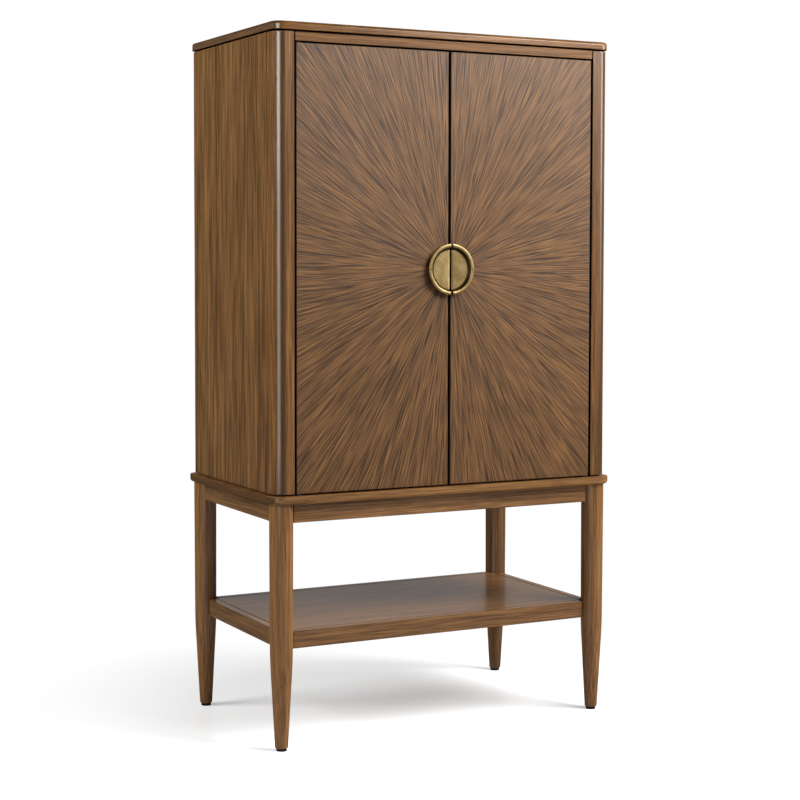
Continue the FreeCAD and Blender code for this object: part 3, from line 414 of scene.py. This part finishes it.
def antiqueBrass():
    look = brassLook
    material, tree, shader = newMaterial("antiqueBrass", {"Metallic": 1.0})
    place = objectPlace(tree)
    cloud = noise(tree, place, look["cloud"], 4.0, 0.6)
    speck = noise(tree, place, look["speck"], 3.0, 0.6)
    colour = toneRamp(tree, cloud, look)
    colour = mixColour(tree, remap(tree, speck, *look["specks"]), colour, look["dark"])
    colour = mixColour(tree, calc(tree, "MULTIPLY", marked(tree, "edge"), look["wear"]), colour, look["light"])
    # painted shade: faces marked "gap" go dark in the gap between the halves; on the inner wall and seam this
    # is patina and painted shade both
    colour = mixColour(tree, marked(tree, "gap"), colour, look["gap"])
    brushed = noise(tree, vectorCalc(tree, "MULTIPLY", place, look["brushStretch"]), look["brush"])
    gloss = calc(tree, "MULTIPLY_ADD", cloud, look["cloudGloss"], look["roughness"] - look["cloudGloss"] / 2)
    gloss = calc(tree, "MULTIPLY_ADD", speck, look["speckGloss"], gloss)
    connect(tree, shader, {"Base Color": colour, "Roughness": gloss,
                           "Normal": bump(tree, brushed, look["bump"], look["relief"])})
    return material


def steel(name, dark, light, low, high):
    look = steelLook
    material, tree, shader = newMaterial(name, {"Metallic": 1.0})
    place = objectPlace(tree)
    cloud = noise(tree, place, look["cloud"], 3.0, 0.6)
    scratch = noise(tree, vectorCalc(tree, "MULTIPLY", place, look["scratchStretch"]), look["scratch"], 1.0)
    connect(tree, shader, {"Base Color": ramp(tree, cloud, list(zip(look["stops"], (dark, light)))),
                           "Roughness": remap(tree, cloud, *look["cloudRange"], low, high),
                           "Normal": bump(tree, scratch, look["bump"], look["relief"])})
    return material


def moulded(name, dark, light, roughness):
    look = mouldedLook
    material, tree, shader = newMaterial(name, {})
    place = objectPlace(tree)
    cloud = noise(tree, place, look["cloud"], 3.0, 0.6)
    pimple = noise(tree, place, look["pimple"])
    gloss = remap(tree, cloud, *look["cloudRange"], roughness - look["spread"], roughness + look["spread"])
    connect(tree, shader, {"Base Color": ramp(tree, cloud, list(zip(look["stops"], (dark, light)))),
                           "Roughness": gloss, "Normal": bump(tree, pimple, look["bump"], look["relief"])})
    return material


materials = {
    "legWalnut": wood("legWalnut", "z", legWalnut),
    "shadedLegWalnut": wood("shadedLegWalnut", "z", shadedLegWalnut),
    "shelfWalnut": wood("shelfWalnut", "x", shelfWalnut),
    "panelWalnut": wood("panelWalnut", "z", panelWalnut, paintedShade="ends"),
    "litPostWalnut": wood("litPostWalnut", "z", litPostWalnut, paintedShade="inward"),
    "shadedPostWalnut": wood("shadedPostWalnut", "z", shadedPostWalnut, paintedShade="inward"),
    "railWalnut": wood("railWalnut", "x", railWalnut, paintedShade="reach"),
    "crossWalnut": wood("crossWalnut", "x", walnut),
    "apronWalnut": wood("apronWalnut", "x", apronWalnut),
    "deepWalnut": wood("deepWalnut", "y", deepWalnut),
    "slabWalnut": wood("slabWalnut", "banded", slabWalnut, paintedShade="under", rim=0.9),
    "trayWalnut": wood("trayWalnut", "banded", trayWalnut, rim=0.05),
    "sunburstWalnut": wood("sunburstWalnut", "z", doorWalnut, burst=True, paintedShade="edges"),
    "innerCross": wood("innerCross", "x", innerWalnut),
    "innerUpright": wood("innerUpright", "z", innerWalnut),
    "beech": wood("plainBeech", "x", beech),
    "brass": antiqueBrass(),
    "brightSteel": steel("platedSteel", screenColour(150, 148, 142), screenColour(196, 195, 190), 0.24, 0.42),
    "darkSteel": steel("blackenedSteel", screenColour(38, 36, 34), screenColour(62, 59, 55), 0.42, 0.6),
    "blackPlastic": moulded("blackPlastic", screenColour(10, 10, 10), screenColour(22, 21, 20), 0.4),
    "greyRubber": moulded("greyRubber", screenColour(52, 50, 48), screenColour(72, 70, 66), 0.75),
}
print("materials made:", len(materials))

cadFinish = {    # nodes that keep the shape of their solids
    "panelWalnut": ["side_panel_left", "side_panel_right"],
    "slabWalnut": ["top_panel"],
    "trayWalnut": ["base_tray"],
    "innerCross": ["carcase_bottom", "carcase_top"],
    "innerUpright": ["back_panel"],
    "beech": ["carcase_dowels", "stand_dowels", "corner_blocks", "low_shelf_cleats"],
    "brightSteel": ["left_strike_plate", "right_strike_plate", "shelf_pins", "leg_bolts", "leg_bolt_washers",
                    "leg_bolt_nuts"],
    "darkSteel": ["left_pivot_sockets", "right_pivot_sockets", "left_pivot_plates", "right_pivot_plates"],
    "blackPlastic": ["door_catches", "leg_glides", "pivot_washers"],
    "greyRubber": ["door_bumpers"],
}
for finish, names in cadFinish.items():
    for name in names:
        nodes[name].material_slots[0].material = materials[finish]
print("solids finished")


# Piece helpers

copyShape = {"flatAngle": 0.002, "planeReach": 0.00003}
sides = {"left": -1, "right": 1}    # which way each lies along X
ends = {"front": -1, "back": 1}    # and along Y


def finishPiece(shape, name, body, finish, replaced, sharpAngle=None):
    mesh = bpy.data.meshes.new(name)
    shape.to_mesh(mesh)
    shape.free()
    if sharpAngle:
        mesh.shade_smooth()
        mesh.set_sharp_from_angle(angle=math.radians(sharpAngle))
    mesh.materials.append(materials[finish])
    piece = bpy.data.objects.new(name, mesh)
    scene.collection.objects.link(piece)
    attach(piece, body)
    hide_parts(*replaced)


def markFaces(shape, faces, mark, strength=1.0):
    layer = shape.loops.layers.float.get(mark) or shape.loops.layers.float.new(mark)
    for face in faces:
        for loop in face.loops:
            loop[layer] = strength


# Rounds edges: the new faces shade smoothly and are marked as edges.
def softenEdges(shape, edges, width, segments=3):
    result = bmesh.ops.bevel(shape, geom=edges, offset=width, offset_type="OFFSET", affect="EDGES",
                             segments=segments, profile=0.5, material=-1, clamp_overlap=True)
    for face in result["faces"]:
        face.smooth = True
    markFaces(shape, result["faces"], "edge")


def boxBlank(low, high):
    shape = bmesh.new()
    middle = (low + high) / 2
    matrix = Matrix.Translation(middle) @ Matrix.Diagonal((*(high - low), 1.0))
    bmesh.ops.create_cube(shape, size=1.0, matrix=matrix)
    return shape


# Grows new faces out of old ones and gives back the corners to move.
def extrudeFaces(shape, faces):
    grown = bmesh.ops.extrude_face_region(shape, geom=faces)["geom"]
    return [item for item in grown if isinstance(item, bmesh.types.BMVert)]


def cutAcross(shape, place, direction, **options):
    bmesh.ops.bisect_plane(shape, geom=shape.verts[:] + shape.edges[:] + shape.faces[:],
                           plane_co=place, plane_no=direction, **options)


# Turns a profile of radius and height once round an upright axis.
def spinProfile(shape, profile, steps, x=0.0, y=0.0):
    points = [shape.verts.new((x + radius, y, height)) for radius, height in profile]
    lines = [shape.edges.new(pair) for pair in zip(points, points[1:])]
    bmesh.ops.spin(shape, geom=points + lines, cent=(x, y, 0), axis=(0, 0, 1), dvec=(0, 0, 0), angle=fullTurn,
                   steps=steps, use_merge=True)
    bmesh.ops.remove_doubles(shape, verts=shape.verts[:], dist=mergeReach)


def outwardNormals(shape):
    bmesh.ops.recalc_face_normals(shape, faces=shape.faces[:])


def openEdges(shape):
    return [edge for edge in shape.edges if edge.is_boundary]


# A merged copy of a node's solids.
def mergedNode(node):
    shape = bmesh.new()
    shape.from_mesh(nodes[node].data)
    bmesh.ops.remove_doubles(shape, verts=shape.verts[:], dist=cadReach)
    return shape


# A copy of a node, with its recesses and holes, and its outer edges rounded.
def softenedCopy(node, name, body, finish, width):
    low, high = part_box(node)
    shape = mergedNode(node)
    bmesh.ops.dissolve_limit(shape, angle_limit=copyShape["flatAngle"], use_dissolve_boundaries=False,
                             verts=shape.verts[:], edges=shape.edges[:])

    def outerPlanes(vertex):
        found = set()
        for axis in range(3):
            for bound in (low, high):
                if abs(vertex.co[axis] - bound[axis]) < copyShape["planeReach"]:
                    found.add((axis, bound[axis]))
        return found

    outer = [edge for edge in shape.edges
             if len(outerPlanes(edge.verts[0]) & outerPlanes(edge.verts[1])) > 1]
    for face in shape.faces:
        face.smooth = False
    softenEdges(shape, outer, width)
    finishPiece(shape, name, body, finish, [node])


# Rails, aprons and shelves

railShape = {"edge": 1.1 * millimetre, "inset": 2.2 * millimetre, "endSlope": 0.999}
railBars = {    # node: (axis, distance of the shoulders from the axis of the legs, finish)
    "apron_front": (0, 26.4, "apronWalnut"), "apron_back": (0, 26.4, "apronWalnut"),
    "apron_left": (1, 29.0, "deepWalnut"), "apron_right": (1, 29.0, "deepWalnut"),
    "low_rail_front": (0, 28.0, "crossWalnut"), "low_rail_back": (0, 28.0, "crossWalnut"),
    "low_rail_left": (1, 30.5, "deepWalnut"), "low_rail_right": (1, 30.5, "deepWalnut"),
}
shelfShape = {"innerEdge": 1.0 * millimetre, "edge": 0.9 * millimetre}


# A bar with a stub at each end that enters the leg, so that a dark line shows at the shoulder; the stub's walls
# and the ring round it are also painted dark as shade.
def shoulderedBar(node, axis, reach, finish):
    low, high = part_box(node)
    legLow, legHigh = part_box("leg_back_right")
    shoulder = (legLow[axis] + legHigh[axis]) / 2 - reach * millimetre
    stub = high[axis] - shoulder
    low[axis] = -shoulder
    high[axis] = shoulder
    shape = boxBlank(low, high)
    softenEdges(shape, shape.edges[:], railShape["edge"])
    for face in [face for face in shape.faces if abs(face.normal[axis]) > railShape["endSlope"]]:
        way = face.normal.copy()
        ring = bmesh.ops.inset_region(shape, faces=[face], thickness=railShape["inset"], use_even_offset=True)
        tip = extrudeFaces(shape, [face])
        bmesh.ops.translate(shape, verts=tip, vec=way * stub)
        walls = {wall for vertex in tip for wall in vertex.link_faces}
        # painted shade on the stub's walls and the ring round it
        markFaces(shape, list(walls) + ring["faces"], "gap")
    outwardNormals(shape)
    finishPiece(shape, node + "_bar", "cabinet", finish, [node])


def innerShelf(node):
    shape = boxBlank(*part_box(node))
    softenEdges(shape, shape.edges[:], shelfShape["innerEdge"])
    finishPiece(shape, node + "_board", "cabinet", "innerCross", [node])


for node, settings in railBars.items():
    shoulderedBar(node, *settings)
for node in ("lower_shelf", "upper_shelf"):
    innerShelf(node)
softenedCopy("low_shelf_panel", "low_shelf_board", "cabinet", "shelfWalnut", shelfShape["edge"])
softenedCopy("top_rail", "top_rail_bar", "cabinet", "railWalnut", shelfShape["edge"])
print("rails and shelves made")


# Doors

doorShape = {"edge": 0.8 * millimetre}
for side in sides:
    softenedCopy(f"{side}_door", f"{side}_door_leaf", f"{side}_door", "sunburstWalnut",
                 doorShape["edge"])
print("doors made")


# Corner posts

postShape = {"round": 27 * millimetre, "arcSteps": 24, "collar": 3 * millimetre, "rebateWidth": 12 * millimetre,
             "rebateDepth": 8 * millimetre, "edge": 0.9 * millimetre, "edgeSteps": 2,
             "roundSlope": 0.01, "sharpTurn": 1.0}


def cornerPost(node, xSign, ySign):
    look = postShape
    low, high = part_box(node)
    inner = Vector((low.x if xSign > 0 else high.x, low.y if ySign > 0 else high.y))
    outer = Vector((high.x if xSign > 0 else low.x, high.y if ySign > 0 else low.y))
    corners = [(inner.x, inner.y), (outer.x, inner.y), (outer.x, outer.y)]
    if ySign > 0:    # rebate for the back panel
        step = inner.x + xSign * look["rebateWidth"]
        shelf = outer.y - look["rebateDepth"]
        corners += [(step, outer.y), (step, shelf), (inner.x, shelf)]
    else:
        corners.append((inner.x, outer.y))
    shape = bmesh.new()
    points = [shape.verts.new((x, y, low.z)) for x, y in corners]
    shape.faces.new(points)
    bmesh.ops.bevel(shape, geom=[points[2]], offset=look["round"], offset_type="OFFSET", affect="VERTICES",
                    segments=look["arcSteps"], profile=0.5, material=-1)
    bmesh.ops.translate(shape, verts=extrudeFaces(shape, shape.faces[:]), vec=(0, 0, high.z - low.z))
    bmesh.ops.holes_fill(shape, edges=openEdges(shape))
    outwardNormals(shape)
    for face in shape.faces:
        face.smooth = min(abs(face.normal.x), abs(face.normal.y)) > look["roundSlope"]
    for height in (low.z + look["collar"], high.z - look["collar"]):    # keeps the shading of the ends short
        cutAcross(shape, (0, 0, height), (0, 0, 1))
    sharp = [edge for edge in shape.edges if edge.calc_face_angle(0.0) > look["sharpTurn"]]
    softenEdges(shape, sharp, look["edge"], look["edgeSteps"])
    finish = "panelWalnut" if ySign > 0 else "litPostWalnut" if xSign < 0 else "shadedPostWalnut"
    finishPiece(shape, node + "_round", "cabinet", finish, [node])


for end, ySign in ends.items():
    for side, xSign in sides.items():
        cornerPost(f"post_{end}_{side}", xSign, ySign)
print("posts made")


# Turned legs

legShape = {    # millimetres
    "footRadius": 15.2, "kneeRadius": 26.3, "topRadius": 27.5, "bottom": 6.0, "knee": 216.0, "top": 566.0,
    "kneeReach": 29.4, "footRound": 3.0, "steps": 72, "kneeSteps": 4, "footSteps": 4, "sharpAngle": 40,
}


def legRadius(height):
    look = legShape
    low = look["knee"] - look["kneeReach"]
    high = look["knee"] + look["kneeReach"]
    taper = (look["kneeRadius"] - look["footRadius"]) / (look["knee"] - look["bottom"])
    shank = (look["topRadius"] - look["kneeRadius"]) / (look["top"] - look["knee"])
    below = look["kneeRadius"] + taper * (height - look["knee"])
    above = look["kneeRadius"] + shank * (height - look["knee"])
    if height <= low:
        return below
    if height >= high:
        return above
    share = (height - low) / (high - low)
    return below - (taper - shank) * (high - low) * share * share / 2


def turnedLeg(node):
    look = legShape
    low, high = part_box(node)
    middle = (low + high) / 2
    profile = [(0.0, look["bottom"])]
    for turn in range(look["footSteps"] + 1):    # rounded foot
        angle = math.pi / 2 * turn / look["footSteps"]
        reach = look["footRadius"] - look["footRound"] * (1 - math.sin(angle))
        profile.append((reach, look["bottom"] + look["footRound"] * (1 - math.cos(angle))))
    kneeSteps = look["kneeSteps"]
    heights = [look["knee"] + look["kneeReach"] * step / kneeSteps for step in range(-kneeSteps, kneeSteps + 1)]
    profile += [(legRadius(height), height) for height in heights + [look["top"]]] + [(0.0, look["top"])]
    profile = [(radius * millimetre, height * millimetre) for radius, height in profile]
    shape = bmesh.new()
    spinProfile(shape, profile, look["steps"], middle.x, middle.y)
    outwardNormals(shape)
    finish = "shadedLegWalnut" if node == "leg_back_right" else "legWalnut"
    finishPiece(shape, node + "_turned", "cabinet", finish, [node], look["sharpAngle"])


for end in ends:
    for side in sides:
        turnedLeg(f"leg_{end}_{side}")
print("legs made")


# Split round pull

pullShape = {    # millimetres, apart from the centre and the shares
    "steps": 160, "centre": 1.096, "gap": 4.6, "edge": 0.6, "edgeSteps": 2, "edgeTurn": 0.6, "backEdge": 1.0,
    "band": 4.0, "bandDrop": 0.9, "dish": 5.5, "ringInside": 47.5, "ringSetback": 0.7, "ringEnd": 1.0,
    "seam": 0.6, "seamDepth": 0.2, "seamInside": 49.0, "rimBack": 7.0, "rimHeart": (56.0, 10.0),
    "patina": 0.85, "wallInside": 45.9, "wallOutside": 51.7, "wallFoot": 4.2, "sharpAngle": 35,
    "profile": [(0, 0), (51.0, 0), (51.0, 6.2), (51.7, 6.8), (58.8, 7.9), (59.6, 8.3), (60.0, 9.0),
                (60.0, 11.2), (59.85, 11.9), (59.4, 12.5), (58.8, 12.88), (58.1, 13.0), (54.0, 13.0),
                (53.3, 12.9), (52.7, 12.6), (52.2, 12.0), (51.8, 11.2), (47.7, 5.2), (47.2, 4.5),
                (46.6, 4.3), (46.2, 4.6), (46.1, 5.1), (45.7, 5.5), (0, 5.5)],    # radius, height
}


# Made flat, with its back at height 0 and its face up, and turned to the doors at the end.
def pullHalf(side, sign):
    look = pullShape
    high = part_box(f"{side}_pull")[1]
    half = look["gap"] / 2 * millimetre
    seam = look["seam"] * millimetre
    rimBack = look["rimBack"] * millimetre
    shape = bmesh.new()

    def onCut(vertex):
        return abs(vertex.co.x - sign * half) < samePlace

    spinProfile(shape, [(radius * millimetre, height * millimetre) for radius, height in look["profile"]],
                look["steps"])
    outwardNormals(shape)
    cutAcross(shape, (sign * half, 0, 0), (-sign, 0, 0), dist=mergeReach, clear_outer=True)
    straight = bmesh.ops.edgeloop_fill(shape, edges=openEdges(shape))["faces"]
    # painted shade: the straight faces in the gap are marked to be painted dark
    markFaces(shape, straight, "gap")
    bandEnd = half + look["band"] * millimetre    # sloped band along the straight edge
    cutAcross(shape, (sign * bandEnd, 0, 0), (sign, 0, 0), dist=mergeReach)
    for vertex in shape.verts:
        if onCut(vertex) and abs(vertex.co.z - look["dish"] * millimetre) < samePlace:
            vertex.co.z -= look["bandDrop"] * millimetre
    for offset in (-1, 0, 1):    # seam across the rim
        cutAcross(shape, (0, offset * seam, 0), (0, 1, 0), dist=mergeReach)
    heartReach, heartHeight = look["rimHeart"]
    heart = Vector((sign * heartReach * millimetre, 0, heartHeight * millimetre))
    for vertex in shape.verts:
        reach = math.hypot(vertex.co.x, vertex.co.y) / millimetre
        if abs(vertex.co.y) < samePlace and reach > look["seamInside"] and vertex.co.z > rimBack:
            vertex.co = vertex.co.lerp(heart, look["seamDepth"])
    outwardNormals(shape)
    for face in shape.faces:    # dark patina down the inner wall and in the seam, which also stands in as painted shade there
        spot = face.calc_center_median()
        reach = math.hypot(spot.x, spot.y) / millimetre
        onWall = look["wallInside"] < reach < look["wallOutside"] and spot.z > look["wallFoot"] * millimetre
        inSeam = reach > look["wallOutside"] and abs(spot.y) < seam and spot.z > rimBack
        if inSeam or onWall and abs(spot.x) > half + samePlace:
            markFaces(shape, [face], "gap", look["patina"])
    cutEdges = [edge for edge in shape.edges if edge.calc_face_angle(0.0) > look["edgeTurn"]
                and all(onCut(vertex) and vertex.co.z > look["backEdge"] * millimetre for vertex in edge.verts)]
    softenEdges(shape, cutEdges, look["edge"] * millimetre, look["edgeSteps"])
    for vertex in shape.verts:    # the ring stops a little short of the disc's straight edge
        inRing = math.hypot(vertex.co.x, vertex.co.y) > look["ringInside"] * millimetre
        if inRing and abs(vertex.co.x) < half + look["ringEnd"] * millimetre:
            vertex.co.x += sign * look["ringSetback"] * millimetre
    turn = Matrix.Rotation(math.pi / 2, 4, "X")    # the pull's axis points out of the doors
    bmesh.ops.transform(shape, verts=shape.verts[:],
                        matrix=Matrix.Translation((0, high.y, look["centre"])) @ turn)
    outwardNormals(shape)
    finishPiece(shape, f"{side}_pull_half", f"{side}_door", "brass", [f"{side}_pull"],
                look["sharpAngle"])


for side, xSign in sides.items():
    pullHalf(side, xSign)
print("pull made")


# Screws with crossed heads

screwSets = {    # node: (body, finish, slot, axis of the screw, way that the head faces, 0 if it differs)
    "back_panel_screws": ("cabinet", "brightSteel", "bright_steel", 1, 1),
    "top_panel_screws": ("cabinet", "brightSteel", "bright_steel", 2, -1),
    "tray_screws": ("cabinet", "brightSteel", "bright_steel", 2, -1),
    "block_screws": ("cabinet", "brightSteel", "bright_steel", 2, -1),
    "catch_screws": ("cabinet", "brightSteel", "bright_steel", 2, -1),
    "left_pull_screws": ("left_door", "brightSteel", "bright_steel", 1, 1),
    "right_pull_screws": ("right_door", "brightSteel", "bright_steel", 1, 1),
    "pivot_plate_screws": ("cabinet", "darkSteel", "dark_steel", 2, 0),
    "left_socket_screws": ("left_door", "darkSteel", "dark_steel", 2, 0),
    "right_socket_screws": ("right_door", "darkSteel", "dark_steel", 2, 0),
}
screwShape = {    # shares of the head's radius, apart from the crown and the lip
    "steps": 24, "crown": 0.35 * millimetre, "lip": 0.2 * millimetre, "shank": 0.5, "neck": 0.55, "top": 0.8,
    "recess": 0.62, "slot": 0.16, "depth": 0.45,
    "point": 0.35, "pointLength": 2.5,    # shares of the shank's radius
    "lipRise": 0.3, "recessRise": 1.15,    # shares of the crown
    "corner": 0.78, "cornerStart": 0.9,    # shares of the recess
    "sharpAngle": 40,
}


# Boxes of the separate solids in a node.
def solidBoxes(node):
    shape = mergedNode(node)
    waiting = set(shape.verts)
    boxes = []
    for start in shape.verts:    # one solid after another
        if start not in waiting:
            continue
        waiting.remove(start)
        found = [start]
        for vertex in found:    # the list grows as neighbours are reached
            for line in vertex.link_edges:
                other = line.other_vert(vertex)
                if other in waiting:
                    waiting.remove(other)
                    found.append(other)
        boxes.append([Vector([pick(vertex.co[axis] for vertex in found) for axis in range(3)])
                      for pick in (min, max)])
    shape.free()
    return boxes


# One screw along Z with its head up at height 0.
def screwModel(head, length):
    look = screwShape
    shank = head * look["shank"]
    crown = look["crown"]
    shape = bmesh.new()
    profile = [(0, -length), (shank * look["point"], -length + shank),
               (shank, -length + look["pointLength"] * shank), (shank, -head * look["neck"]),
               (head, -look["lip"]), (head, crown * look["lipRise"]), (head * look["top"], crown)]
    spinProfile(shape, profile, look["steps"])
    reach = head * look["recess"]
    inner = head * look["slot"]
    grid = bmesh.ops.create_grid(shape, x_segments=3, y_segments=3, size=reach)["verts"]
    for vertex in grid:
        vertex.co.z = crown * look["recessRise"]
        for axis in (0, 1):
            if abs(vertex.co[axis]) < reach * look["cornerStart"]:
                vertex.co[axis] = math.copysign(inner, vertex.co[axis])
            else:
                vertex.co[axis] *= look["corner"]    # keeps the corners inside the round head

    def inCross(face):
        middle = face.calc_center_median()
        return min(abs(middle.x), abs(middle.y)) < mergeReach

    arms = [face for face in shape.faces if all(vertex in grid for vertex in face.verts) and inCross(face)]
    bmesh.ops.bridge_loops(shape, edges=openEdges(shape))
    bmesh.ops.translate(shape, verts=extrudeFaces(shape, arms), vec=(0, 0, -head * look["depth"]))
    outwardNormals(shape)
    mesh = bpy.data.meshes.new("screwModel")
    shape.to_mesh(mesh)
    shape.free()
    return mesh


def screws(node, body, finish, slotName, axis, way):
    low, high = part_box(node)
    middle = (low[axis] + high[axis]) / 2
    across = 1 if axis == 0 else 0
    shape = bmesh.new()
    for lowest, highest in solidBoxes(node):
        facing = way or (1 if body.endswith("door") else -1) * (1 if lowest[axis] > middle else -1)
        spot = (lowest + highest) / 2
        spot[axis] = highest[axis] if facing > 0 else lowest[axis]
        model = screwModel((highest[across] - lowest[across]) / 2, highest[axis] - lowest[axis])
        before = set(shape.verts)
        shape.from_mesh(model)
        bpy.data.meshes.remove(model)
        direction = Vector((0, 0, 0))
        direction[axis] = facing
        turn = direction.to_track_quat("Z", "Y").to_matrix().to_4x4()
        bmesh.ops.transform(shape, verts=[vertex for vertex in shape.verts if vertex not in before],
                            matrix=Matrix.Translation(spot) @ turn)
    finishPiece(shape, node + "_heads", body, finish, [node], screwShape["sharpAngle"])


for node, settings in screwSets.items():
    screws(node, *settings)
print("screws made")


# Stage, light and camera

stageLook = {"floorRadius": 30.0, "floorSteps": 96, "floorColour": 0.74, "bounce": 0.60, "mirrored": 0.15,
             "glow": 0.37, "gleam": 0.05, "gleamRoughness": 0.22, "nearRadius": 0.52, "farRadius": 0.97}


def makeFloor():
    look = stageLook
    shape = bmesh.new()
    bmesh.ops.create_circle(shape, cap_ends=True, segments=look["floorSteps"], radius=look["floorRadius"])
    mesh = bpy.data.meshes.new("floor")
    shape.to_mesh(mesh)
    shape.free()
    floor = bpy.data.objects.new("floor", mesh)
    scene.collection.objects.link(floor)
    material, tree, shader = newMaterial("paleFloor", {})
    tree.nodes.remove(shader)

    def surface(kind, inputs):
        return addNode(tree, "ShaderNode" + kind, inputs).outputs[0]

    path = tree.nodes.new("ShaderNodeLightPath").outputs
    far = remap(tree, vectorCalc(tree, "LENGTH", objectPlace(tree)), look["nearRadius"], look["farRadius"])
    lit = surface("BsdfDiffuse", {"Color": grey(look["floorColour"])})
    glow = surface("Emission", {"Strength": look["glow"]})
    gleam = surface("BsdfGlossy", {"Color": grey(look["gleam"]), "Roughness": look["gleamRoughness"]})
    white = surface("Emission", {"Strength": 1.0})
    seen = surface("AddShader", {0: surface("AddShader", {0: lit, 1: glow}), 1: gleam})
    seen = surface("MixShader", {0: far, 1: seen, 2: white})    # the floor fades into the backdrop
    tint = mixValue(tree, path["Is Glossy Ray"], look["bounce"], look["mirrored"])
    spread = surface("BsdfDiffuse", {"Color": tint})
    mixed = surface("MixShader", {0: path["Is Camera Ray"], 1: spread, 2: seen})
    tree.links.new(mixed, tree.nodes["Material Output"].inputs["Surface"])
    floor.data.materials.append(material)


worldLook = {"ambient": 0.16, "backdropWay": (0.4627, 0.8865, 0.0), "backdropFade": (0.74, 0.93),
             "bandStart": (0.11, 0.16), "bandEnd": (0.28, 0.45, 1.0, 0.0), "roomLevel": 0.04,
             "backdropLevel": 0.74}


def makeWorld():
    look = worldLook
    world = bpy.data.worlds.new("studio")
    scene.world = world
    world.use_nodes = True
    tree = world.node_tree
    background = tree.nodes["Background"]
    path = tree.nodes.new("ShaderNodeLightPath").outputs
    way = tree.nodes.new("ShaderNodeTexCoord").outputs["Generated"]
    height = axisParts(tree, way)["Z"]
    band = calc(tree, "MINIMUM", remap(tree, height, *look["bandStart"]), remap(tree, height, *look["bandEnd"]))
    facing = vectorCalc(tree, "DOT_PRODUCT", way, look["backdropWay"])
    facing = calc(tree, "MULTIPLY", remap(tree, facing, *look["backdropFade"]), band)
    mirrored = mixValue(tree, facing, look["roomLevel"], look["backdropLevel"])
    shown = calc(tree, "MAXIMUM", path["Is Camera Ray"], path["Is Transmission Ray"])
    level = mixValue(tree, path["Is Glossy Ray"], look["ambient"], mirrored)    # polish shows the backdrop
    level = mixValue(tree, shown, level, 1.0)
    tree.links.new(level, background.inputs["Strength"])
    background.inputs["Color"].default_value = grey(1.0)


lamps = {    # place, aim, width, height, power, shows in polish, lights plain surfaces
    "key": ((2.2, -2.4, 3.3), (0.0, -0.26, 1.05), 2.4, 2.4, 298.0, True, True),
    "rightBox": ((3.03, -1.88, 1.85), (0.43, -0.25, 1.2), 1.0, 0.8, 19.0, True, False),
    "rightLow": ((3.03, -1.88, 1.15), (0.43, -0.25, 1.0), 1.0, 0.6, 5.0, True, False),
    "leftBox": ((-2.62, -2.30, 2.05), (-0.43, -0.25, 1.4), 1.6, 1.25, 42.0, True, False),
    "leftLow": ((-2.62, -2.30, 0.83), (-0.43, -0.25, 1.0), 1.6, 1.16, 15.0, True, False),
    "leftFill": ((-3.0, 0.75, 2.1), (-0.446, 0.0, 1.15), 1.6, 1.6, 87.0, False, True),
}


def makeLamps():
    for name, (place, aim, width, height, power, polish, plain) in lamps.items():
        light = bpy.data.lights.new(name, "AREA")
        light.shape = "RECTANGLE"
        light.size = width
        light.size_y = height
        light.energy = power
        lamp = bpy.data.objects.new(name, light)
        lamp.location = place
        lamp.rotation_euler = (Vector(aim) - Vector(place)).to_track_quat("-Z", "Y").to_euler()
        lamp.visible_camera = False
        lamp.visible_glossy = polish
        lamp.visible_diffuse = plain
        scene.collection.objects.link(lamp)


cameraLook = {"place": (-2.0415, -3.9246, 1.1227), "turn": 27.53, "tilt": 3.012, "roll": -0.1, "lens": 80.32,
              "sensor": 36.0, "shift": -0.06, "reach": 200.0}


def makeCamera():
    look = cameraLook
    data = bpy.data.cameras.new("camera")
    data.lens = look["lens"]
    data.sensor_width = look["sensor"]
    data.shift_y = look["shift"]
    data.clip_end = look["reach"]
    camera = bpy.data.objects.new("camera", data)
    camera.location = look["place"]
    camera.rotation_euler = (math.radians(90 - look["tilt"]), math.radians(look["roll"]),
                             -math.radians(look["turn"]))
    scene.collection.objects.link(camera)
    scene.camera = camera


makeFloor()
makeWorld()
makeLamps()
makeCamera()
print("stage, light and camera set")
